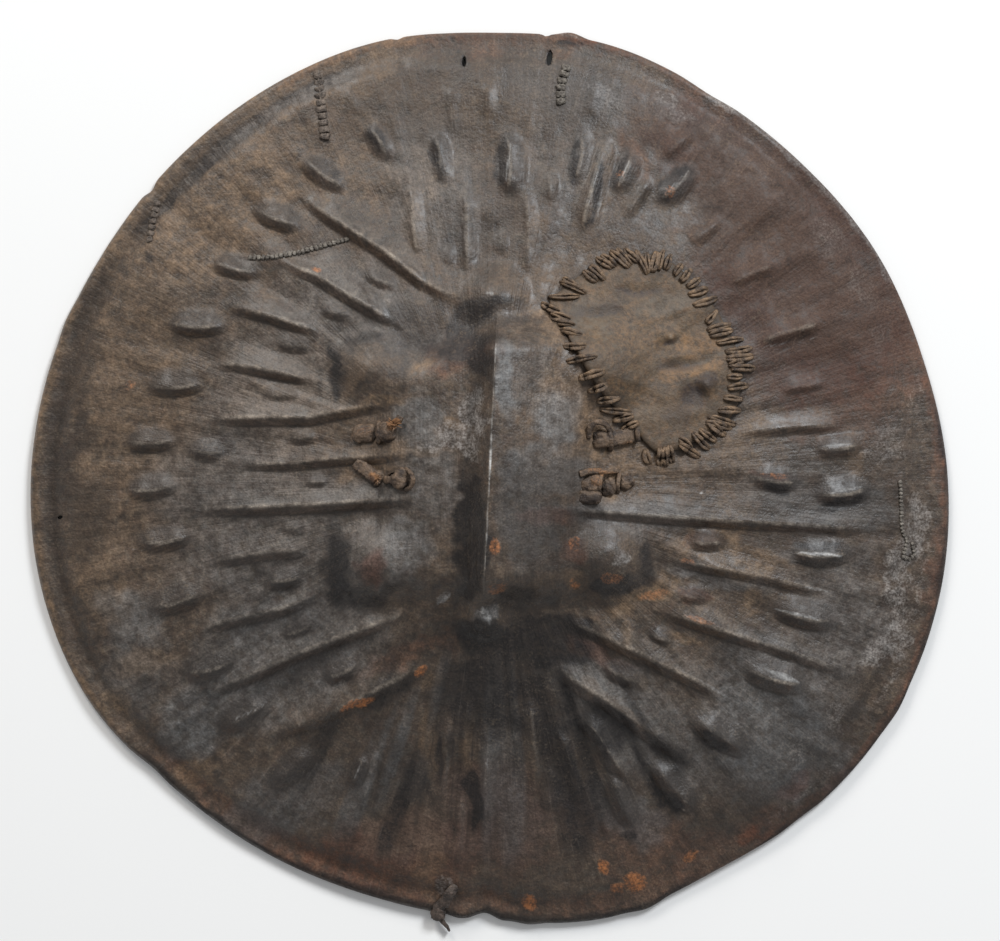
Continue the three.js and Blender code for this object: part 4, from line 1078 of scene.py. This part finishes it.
def raw_thong(name, dark_tone, light_tone, scale=1.0):
    """Rawhide thong: olive brown, fibres along the strip, painted shade in the gaps from ambient occlusion, a
    dull gloss.
    """
    material, tree = new_material(name)
    place = add_node(tree, "TexCoord").outputs["Object"]
    blotch, fibre = (
        add_node(tree, "TexNoise", {"Vector": place, "Scale": 1 / size, "Detail": detail, "Roughness": rough})
        for size, detail, rough in ((0.011 * scale, 5.0, 0.65), (0.0016, 4.0, 0.7)))
    base = add_node(tree, "ValToRGB", {0: blotch})
    base.color_ramp.elements[0].position = 0.36
    base.color_ramp.elements[0].color = linear(dark_tone)
    base.color_ramp.elements[1].position = 0.66
    base.color_ramp.elements[1].color = linear(light_tone)
    fleck = add_node(tree, "MapRange", {0: fibre, 1: 0.3, 2: 0.72, 3: 0.6, 4: 1.35})
    # Painted shade: the colour is darkened where ambient occlusion finds gaps and crevices.
    ambient_shade = add_node(tree, "AmbientOcclusion", {"Distance": 0.005}, samples=6)
    occlusion_shade = add_node(tree, "MapRange", {0: ambient_shade.outputs["AO"], 1: 0.35, 2: 0.95, 3: 0.35, 4: 1.0})
    shade = add_node(tree, "Math", {0: fleck, 1: occlusion_shade}, operation="MULTIPLY")
    colour = base.outputs[0]
    stain = add_node(tree, "SeparateColor", {0: add_node(tree, "Attribute", attribute_name="stain")})
    for share, tone, most in ((stain.outputs["Red"], "#96683f", 0.8),
                              (stain.outputs["Green"], "#2c2422", 0.85)):
        edge = add_node(tree, "Math", {0: share, 1: fibre}, operation="ADD")
        amount = add_node(tree, "MapRange", {0: edge, 1: 0.75, 2: 1.45, 4: most})
        colour = add_node(tree, "Mix", {0: amount, 6: colour, 7: linear(tone)}, data_type="RGBA").outputs[2]
    colour = add_node(tree, "VectorMath", {0: colour, 3: shade}, operation="SCALE")
    ridges = add_node(tree, "Bump", {"Height": fibre, "Strength": 0.8, "Distance": 0.0010})
    folds = add_node(tree, "Bump", {"Height": blotch, "Strength": 0.5, "Distance": 0.004, "Normal": ridges})
    skin = add_node(tree, "BsdfPrincipled", {"Base Color": colour, "Roughness": 0.52, "IOR": 1.5,
                                             "Specular IOR Level": 0.45, "Normal": folds})
    add_node(tree, "OutputMaterial", {"Surface": skin})
    return material


turns = []
chance = np.random.RandomState(7)
for number, (ax, ay, bx, by) in enumerate(LACE_TURNS):
    share = np.linspace(0, 1, 15)
    wander = chance.uniform(-0.8, 0.8)
    length = math.hypot(bx - ax, by - ay)
    px = ax + (bx - ax) * share - (by - ay) / length * wander * np.sin(np.pi * share)
    py = ay + (by - ay) * share + (bx - ax) / length * wander * np.sin(np.pi * share)
    under = outer_height(px, py)
    reach = np.maximum.reduce([under, np.roll(under, 1), np.roll(under, -1)])
    reach[[0, -1]] = under[[0, -1]]
    rise = 1.6 * np.sin(np.pi * share) ** 0.45
    rise = rise - 2.8 * (1 - smooth(share / 0.12)) - 2.8 * (1 - smooth((1 - share) / 0.12))
    full = chance.uniform(0.8, 1.15)
    for strand in (-1, 1):
        gap = strand * full * 0.27 * LACE_WIDTH * np.sin(np.pi * share) ** 0.55
        half = LACE_WIDTH * full * chance.uniform(0.85, 1.1) / 4 * (0.7 + 0.3 * np.sin(np.pi * share) ** 0.5)
        twist = chance.uniform(-24, 24) + chance.uniform(-60, 60) * (share - 0.5)
        sway = chance.uniform(-0.5, 0.5) * np.sin(2 * np.pi * share)
        path = np.stack([px - (by - ay) / length * (gap + sway), py + (bx - ax) / length * (gap + sway),
                         reach + rise + chance.uniform(-0.5, 0.4)], 1)
        turns.append(swept(path, half, 1.2, twist, 12, 0.22, 2 * number + (strand > 0)))
lace_points, lace_faces = together(turns)
lace_finish = raw_thong("raw_thong_lace", "#41342a", "#8a7056", 0.6)
lacing = make_mesh("patch_whipping", to_frame(lace_points), lace_faces, lace_finish)
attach(lacing, "root")
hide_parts("patch_lacing")

# ---------------------------------------------------------------------------
# The hand grip: a strap of hide across the hollow behind the boss, bowed away
# from it for the fingers, its four tails lying against the back at the knots.
GRIP_DROP = 34.0
GRIP_THICKNESS = 5.0


def grip_line(x):
    """How far up or down the back the strap runs."""
    return 10 - 0.03 * x


def grip_top(x):
    """The side of the strap that faces the hide: against it at the knots, clear of it between."""
    lying = np.minimum(body_height(x, grip_line(x)) - HIDE_THICKNESS * 1.3, 96 - 0.3 * np.abs(x))
    return lying - 0.45 - GRIP_DROP * smooth((70 - np.abs(x)) / 46)


strap_x = np.linspace(-90, 90, 91)
waist = 16.5 + 6.5 * smooth((np.abs(strap_x) - 20) / 50) + 0.5 * dapple(strap_x, 0 * strap_x, 12, 41)
strap_path = np.stack([strap_x, grip_line(strap_x), grip_top(strap_x) - 2.6], 1)
parts = [swept(strap_path, waist, GRIP_THICKNESS / 2, 0, 26, 0.03, 4)]
for number, (hx, hy) in enumerate(GRIP_HOLES):
    reach = np.linspace(-6.5, 6.5, 9)
    level = float(grip_top(np.array([float(hx)]))[0]) - GRIP_THICKNESS - 2.2
    tail = np.stack([hx + reach, hy + 0 * reach, level + 0.3 * np.cos(reach)], 1)
    parts.append(swept(tail, 6.4 - 0.03 * reach ** 2, 2.2, 0, 14, 0.1, 50 + number))
grip_points, grip_faces = together(parts)
grip_finish = raw_thong("strap_hide", "#3b2f27", "#5c4a3b", 4.0)
grip = make_mesh("grip_strap", to_frame(grip_points), grip_faces, grip_finish)
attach(grip, "root")
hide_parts("hand_grip")

# ---------------------------------------------------------------------------
# The four knots: each end of the grip's thong comes up through the hide and is
# turned over itself and flattened; the ends are frayed to raw fibre.
# For each knot: where its hole is; lumps of turned thong as x, y, half length, half
# width, half height, bearing, lift; loops and flat ends of thong as a line of
# x, y, lift with half width and half thickness; tufts of raw fibre as x, y, count.
KNOTS = {
    "knot_upper_left": ((-74, 29), [(-88, 29.5, 10.5, 7.2, 4.4, 2, 2.2), (-73, 30, 7.5, 8.2, 5.4, 64, 3.0)],
                        [([(-80, 22, 0), (-79, 24, 4.5), (-79, 30, 6.0), (-79, 36, 3.5), (-79, 38, 0)],
                          1.7, 1.1),
                         ([(-68, 36, 5), (-65, 38, 6.5), (-63, 41, 6)], 2.6, 1.2)],
                        [(-68, 35, 9)]),
    "knot_lower_left": ((-68, -3), [(-80, -3, 6.2, 5.6, 4.4, 0, 2.4), (-62, -3.5, 8.2, 7.0, 5.0, 62, 2.8)],
                        [([(-96, 9, 0.5), (-91, 5, 2.2), (-85, 0.5, 3.6), (-80, -3, 4.0)], 4.6, 1.3),
                         ([(-60, 4, 0.5), (-56, 1, 4.5), (-54, -4, 5.5), (-56, -9, 3.5), (-60, -11, 0.5)],
                          1.5, 1.3),
                         ([(-75, -4, 1.5), (-70, -4, 4), (-66, -4, 4)], 2.6, 1.4)],
                        [(-80, -3, 8)]),
    "knot_upper_right": ((79, 27), [(79.5, 24.5, 6.2, 7.2, 5.2, 88, 2.8)],
                         [([(71, 26, 0.5), (71.5, 33, 3.5), (76, 37, 6.5), (82, 36, 6.5), (86, 31, 4.5),
                            (87, 25, 2)], 2.0, 1.5),
                          ([(86, 17, 0), (86.5, 20, 4.5), (86.5, 25, 6.2), (86, 30, 5.0)], 1.9, 1.3),
                          ([(84, 24.5, 3.4), (92, 26, 4.0), (100, 27.5, 3.6), (107, 28.5, 2.0)], 5.2, 1.5)],
                         []),
    "knot_lower_right": ((74, -12), [(72, -7, 8.0, 6.4, 5.4, 20, 3.0), (70.5, -16, 9.5, 5.2, 4.8, -8, 2.4),
                                     (85, -9, 6.5, 6.2, 4.4, 10, 2.6), (97.5, -6, 6.2, 5.0, 4.6, 24, 2.8)],
                         [([(92, -13, 0.5), (91.5, -9, 4.8), (92, -4, 5.8), (93, 1, 1)], 1.5, 1.2),
                          ([(78, -15, 1), (78, -9, 6.2), (79, -3, 5.4), (80, 1, 1)], 1.8, 1.2),
                          ([(64, 0, 0.5), (72, 2, 3.2), (82, 2, 3.6), (92, 2.6, 2)], 2.2, 1.2)],
                         []),
}


def lump(cx, cy, a, b, c, bearing, lift, seed):
    """A pressed-down lump of turned thong: flat on top, creased and uneven."""
    rows, sides = 26, 36
    ux, uy = math.cos(math.radians(bearing)), math.sin(math.radians(bearing))
    base = float(outer_height(np.array([float(cx)]), np.array([float(cy)]))[0]) + lift - 2.2
    turn = np.arange(sides) * 2 * np.pi / sides
    points, faces = [], []
    for i in range(1, rows):
        polar = math.pi * i / rows
        along = -np.sign(math.cos(polar)) * abs(math.cos(polar)) ** 0.8 * np.ones(sides)
        ring = math.sin(polar) ** 0.7
        side = ring * np.sign(np.cos(turn)) * np.abs(np.cos(turn)) ** 0.8
        top = ring * np.sign(np.sin(turn)) * np.abs(np.sin(turn)) ** 0.7
        swell = (1 + 0.16 * dapple(along * 2.2 + seed, side * 2.0 + top, 1.0, 61)
                 + 0.07 * dapple(along * 6 + seed, side * 5 + 2 * top, 1.0, 60)
                 - 0.10 * np.exp(-((along - 0.25 + 0.3 * side) / 0.13) ** 2))
        u, v, w = a * along * (0.5 + 0.5 * swell), b * side * swell, c * top * swell
        points.append(np.stack([cx + u * ux - v * uy, cy + u * uy + v * ux, base + np.maximum(w, -2.6)], 1))
    first = np.array([[cx - a * ux, cy - a * uy, base]])
    last = np.array([[cx + a * ux, cy + a * uy, base]])
    count = (rows - 1) * sides
    for i in range(rows - 2):
        p, q = 1 + i * sides, 1 + (i + 1) * sides
        faces += [(p + k, q + k, q + (k + 1) % sides, p + (k + 1) % sides) for k in range(sides)]
    faces += [(0, 1 + k, 1 + (k + 1) % sides) for k in range(sides)]
    faces += [(count + 1, count - sides + 1 + (k + 1) % sides, count - sides + 1 + k) for k in range(sides)]
    return np.concatenate([first, *points, last]), faces


def laid_line(line, count):
    """A smooth line over the hide through x, y, lift."""
    pts = np.array(line, float)
    at = np.linspace(0, len(pts) - 1, count)
    i = np.minimum(at.astype(int), len(pts) - 2)
    t = (at - i)[:, None]
    a, b, c, d = (pts[np.clip(i + k, 0, len(pts) - 1)] for k in (-1, 0, 1, 2))
    out = b + 0.5 * t * (c - a + t * (2 * a - 5 * b + 4 * c - d + t * (3 * (b - c) + d - a)))
    out[:, 2] += outer_height(out[:, 0], out[:, 1])
    return out


knot_finish = raw_thong("raw_thong_knot", "#382c24", "#7a6450", 0.6)
for number, (node, (hole, lumps, straps, tufts)) in enumerate(KNOTS.items()):
    parts = [lump(*values, 10 * number + k) for k, values in enumerate(lumps)]
    for k, (line, half, thick) in enumerate(straps):
        parts.append(swept(laid_line(line, 30), half, thick, 0, 16, 0.16, 40 + 5 * number + k))
    chance = np.random.RandomState(50 + number)
    for cx, cy, count in tufts:
        for k in range(count):
            bearing, reach = chance.uniform(0, 2 * np.pi), chance.uniform(3.0, 6.5)
            ux, uy = math.cos(bearing), math.sin(bearing)
            line = [(cx + chance.uniform(-2, 2), cy + chance.uniform(-2, 2), 5.0)]
            line.append((line[0][0] + 0.5 * reach * ux, line[0][1] + 0.5 * reach * uy, 8.0))
            line.append((line[0][0] + reach * ux, line[0][1] + reach * uy, chance.uniform(5.5, 8.5)))
            parts.append(swept(laid_line(line, 10), 0.42, 0.3, 0, 6, 0.2, k))
    top = float(face_height(np.array([float(hole[0])]), np.array([float(hole[1])]))[0])
    foot = float(grip_top(np.array([float(hole[0])]))[0]) - 4
    drop = np.linspace(top + 2.5, foot, 9)
    stem = np.stack([hole[0] + 0 * drop, hole[1] + 0 * drop, drop], 1)
    parts.append(swept(stem, 3.0, 3.0, 0, 12, 0.06, 70 + number))
    knot_points, knot_faces = together(parts)
    knot = make_mesh(node + "_turns", to_frame(knot_points), knot_faces, knot_finish)
    raw = region(knot_points[:, 0], knot_points[:, 1], [
        (-68, 35, 7, 6, 0, 1.0), (-80, -3, 5, 5, 0, 0.9), (80, 2, 14, 3, 0, 0.6), (76, -5, 6, 4, 0, 0.5),
        (-90, 31, 6, 4, 0, 0.35), (98, 22, 5, 2, 0, 0.5)])
    dark = region(knot_points[:, 0], knot_points[:, 1], [
        (70, -17, 9, 5, -8, 0.9), (-83, -5, 4, 4, 0, 0.8), (78, 33, 5, 3, 0, 0.8), (-60, -9, 8, 4, 0, 0.4)])
    store_fields(knot, {"stain": (raw, dark, 0 * raw)})
    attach(knot, "root")
    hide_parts(node)

# ---------------------------------------------------------------------------
# The crack stitchings: five cracks in the hide drawn shut with fine thong, laid
# from side to side down each crack and blackened with handling.
# For each crack: its line, pitch, width across, thickness, how far from its first
# end the thong is worn down level with the hide, and whether it is pale with dust.
CRACK_LINES = {
    "top_crack_stitching": ([(-127, 294), (-125, 280), (-124, 268), (-122, 256), (-121, 247)], 5.2, 6.2, 1.1,
                            0.5, False),
    "left_crack_stitching": ([(-175, 158), (-158, 158), (-140, 161), (-121, 166), (-103, 171)],
                             3.3, 3.2, 0.75, 0.0, True),
    "left_edge_stitching": ([(-246, 200), (-249, 186), (-251, 172)], 4.6, 4.6, 0.9, 0.3, False),
    "top_edge_stitching": ([(56, 299), (54, 293), (52, 284), (52, 272)], 5.2, 5.4, 1.2, 0.0, True),
    "right_edge_stitching": ([(301.5, -6), (302.5, -24), (303, -41), (307, -49), (304, -61), (308, -63),
                              (313, -60), (311, -50)], 2.8, 2.1, 0.75, 0.0, True),
}
crack_finish = raw_thong("blackened_thong", "#423932", "#7b6d61", 0.35)
pale_finish = raw_thong("dusted_thong", "#453d36", "#8e867b", 0.35)
for number, (node, (line, pitch, across, thick, worn, pale)) in enumerate(CRACK_LINES.items()):
    line = np.array(line, float)
    run = np.concatenate([[0], np.cumsum(np.hypot(*np.diff(line, axis=0).T))])
    parts = []
    turns_here = int(run[-1] / pitch) + 1
    chance = np.random.RandomState(80 + number)
    for k in range(turns_here):
        at = k * pitch
        cx, cy = np.interp(at, run, line[:, 0]), np.interp(at, run, line[:, 1])
        step = min(at + 2, run[-1])
        dx, dy = (np.interp(step, run, line[:, way]) - np.interp(step - 2, run, line[:, way])
                  for way in (0, 1))
        norm = math.hypot(dx, dy)
        nx, ny = -dy / norm, dx / norm
        lean = chance.uniform(-1.0, 1.0)
        half = across / 2 * chance.uniform(0.85, 1.1)
        share = np.linspace(-1, 1, 11)
        px = cx + nx * half * share + dx / norm * lean * share
        py = cy + ny * half * share + dy / norm * lean * share
        lift = (0.2 if at < worn * run[-1] else 1.1) * thick * (1 - share ** 4) - 1.2 * share ** 6
        path = np.stack([px, py, face_height(px, py) + lift], 1)
        parts.append(swept(path, 0.46 * pitch, thick, chance.uniform(-12, 12), 14, 0.25, k + 11 * number))
    down = np.linspace(0, run[-1], int(run[-1] / 1.5))
    px, py = np.interp(down, run, line[:, 0]), np.interp(down, run, line[:, 1])
    parts.append(swept(np.stack([px, py, face_height(px, py) + 0.1], 1), 0.8, 0.7, 0, 8, 0.2, number))
    crack_points, crack_faces = together(parts)
    stitching = make_mesh(node + "_thong", to_frame(crack_points), crack_faces,
                          pale_finish if pale else crack_finish)
    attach(stitching, "root")
    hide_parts(node)

# ---------------------------------------------------------------------------
# The edge thong: a stub of hide thong knotted on the face near the bottom edge,
# turned over the edge and torn off short; its face end is grey with dust.
STUB_PATH = [(-26, -303, 3.0), (-29, -309, 4.5), (-33, -315, 4.5), (-37, -320, 4.2), (-38.5, -325, 3.4),
             (-37.5, -330, 2.6)]
STUB_WIDTHS = [2.6, 4.2, 4.0, 4.8, 5.8, 4.4]
TAIL_PATH = [(-38, -327), (-35, -331.5), (-32, -335), (-30, -338.5)]
foot_lift = float(face_height(np.array([-29.0]), np.array([-309.0]))[0])
stub_path = np.array(STUB_PATH, float)
stub_path[:, 2] += [foot_lift, foot_lift, foot_lift - 3.5, foot_lift - 6.0, 3.0, 3.0]
fine = np.linspace(0, len(stub_path) - 1, 26)
stub_line = np.stack([np.interp(fine, np.arange(len(stub_path)), stub_path[:, k]) for k in range(3)], 1)
stub_width = np.interp(fine, np.arange(len(STUB_WIDTHS)), STUB_WIDTHS) * (1 - 0.5 * (fine > fine[-1] - 0.1))
tail = np.array(TAIL_PATH, float)
more = np.linspace(0, len(tail) - 1, 12)
tail_line = np.stack([np.interp(more, np.arange(len(tail)), tail[:, 0]),
                      np.interp(more, np.arange(len(tail)), tail[:, 1]), 5.0 - 0.5 * more], 1)
parts = [swept(stub_line, stub_width, 2.9, 12 * np.sin(fine * 2), 14, 0.22, 90),
         swept(tail_line, 2.3 - 0.5 * more, 1.6, 0, 10, 0.2, 91),
         lump(-27, -305, 5.6, 4.4, 3.0, 60, 1.0, 92),
         lump(-32, -312, 5.0, 4.2, 3.0, 20, 0.8, 93)]
stub_points, stub_faces = together(parts)
stub_finish = raw_thong("dusty_thong", "#2f2723", "#64554b", 0.5)
stub = make_mesh("edge_thong_stub", to_frame(stub_points), stub_faces, stub_finish)
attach(stub, "root")
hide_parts("edge_thong")

# ---------------------------------------------------------------------------
# Floor, light and camera: a matt white board with the shield lying on it, a large
# cool window beyond it to the right, a softer warm lamp to the left, a pale room
# all round, and a camera looking straight down from above the boss.
CAMERA_HEIGHT = 2.2
CAMERA_ASIDE = (0.00742, 0.0026)    # metres right of and above the middle of the keel
PICTURE_WIDTH = 0.742               # metres of floor across the picture
ROOM_STRENGTH = 0.37

bpy.ops.mesh.primitive_plane_add(size=8.0)
floor = bpy.context.object
floor.name = "floor"
floor_finish, tree = new_material("white_board")
paint = add_node(tree, "BsdfPrincipled", {"Base Color": linear("#f6f5f3"), "Roughness": 0.9,
                                          "Specular IOR Level": 0.1})
add_node(tree, "OutputMaterial", {"Surface": paint})
floor.data.materials.append(floor_finish)
floor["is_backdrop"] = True


def soft_light(name, bearing, elevation, distance, size, power, colour):
    """A round soft light at a bearing and elevation in degrees, turned to the shield."""
    lamp = bpy.data.lights.new(name, "AREA")
    lamp.shape = "DISK"
    lamp.size = size
    lamp.energy = power
    lamp.color = colour
    holder = bpy.data.objects.new(name, lamp)
    a, e = math.radians(bearing), math.radians(elevation)
    holder.location = (distance * math.cos(e) * math.cos(a), distance * math.cos(e) * math.sin(a),
                       distance * math.sin(e))
    holder.rotation_euler = (math.pi / 2 - e, 0, a + math.pi / 2)
    bpy.context.scene.collection.objects.link(holder)


soft_light("window_right", 52, 36, 5.0, 1.5, 200, (0.92, 0.96, 1.0))
soft_light("lamp_left", 114, 28, 5.0, 1.8, 130, (1.0, 0.97, 0.93))

world = bpy.data.worlds.new("room")
world.use_nodes = True
world.node_tree.nodes["Background"].inputs[0].default_value = (0.95, 0.97, 1.0, 1)
world.node_tree.nodes["Background"].inputs[1].default_value = ROOM_STRENGTH
bpy.context.scene.world = world

camera_data = bpy.data.cameras.new("camera")
camera_data.sensor_fit = "HORIZONTAL"
camera_data.lens = camera_data.sensor_width * CAMERA_HEIGHT / PICTURE_WIDTH
camera = bpy.data.objects.new("camera", camera_data)
camera.location = (KEEL_PLACE[0] / 1000 + CAMERA_ASIDE[0], KEEL_PLACE[1] / 1000 + CAMERA_ASIDE[1],
                   CAMERA_HEIGHT)
camera.rotation_euler = (0, 0, 0)
bpy.context.scene.collection.objects.link(camera)
bpy.context.scene.camera = camera
bpy.context.scene.view_settings.view_transform = "Standard"

low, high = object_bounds()
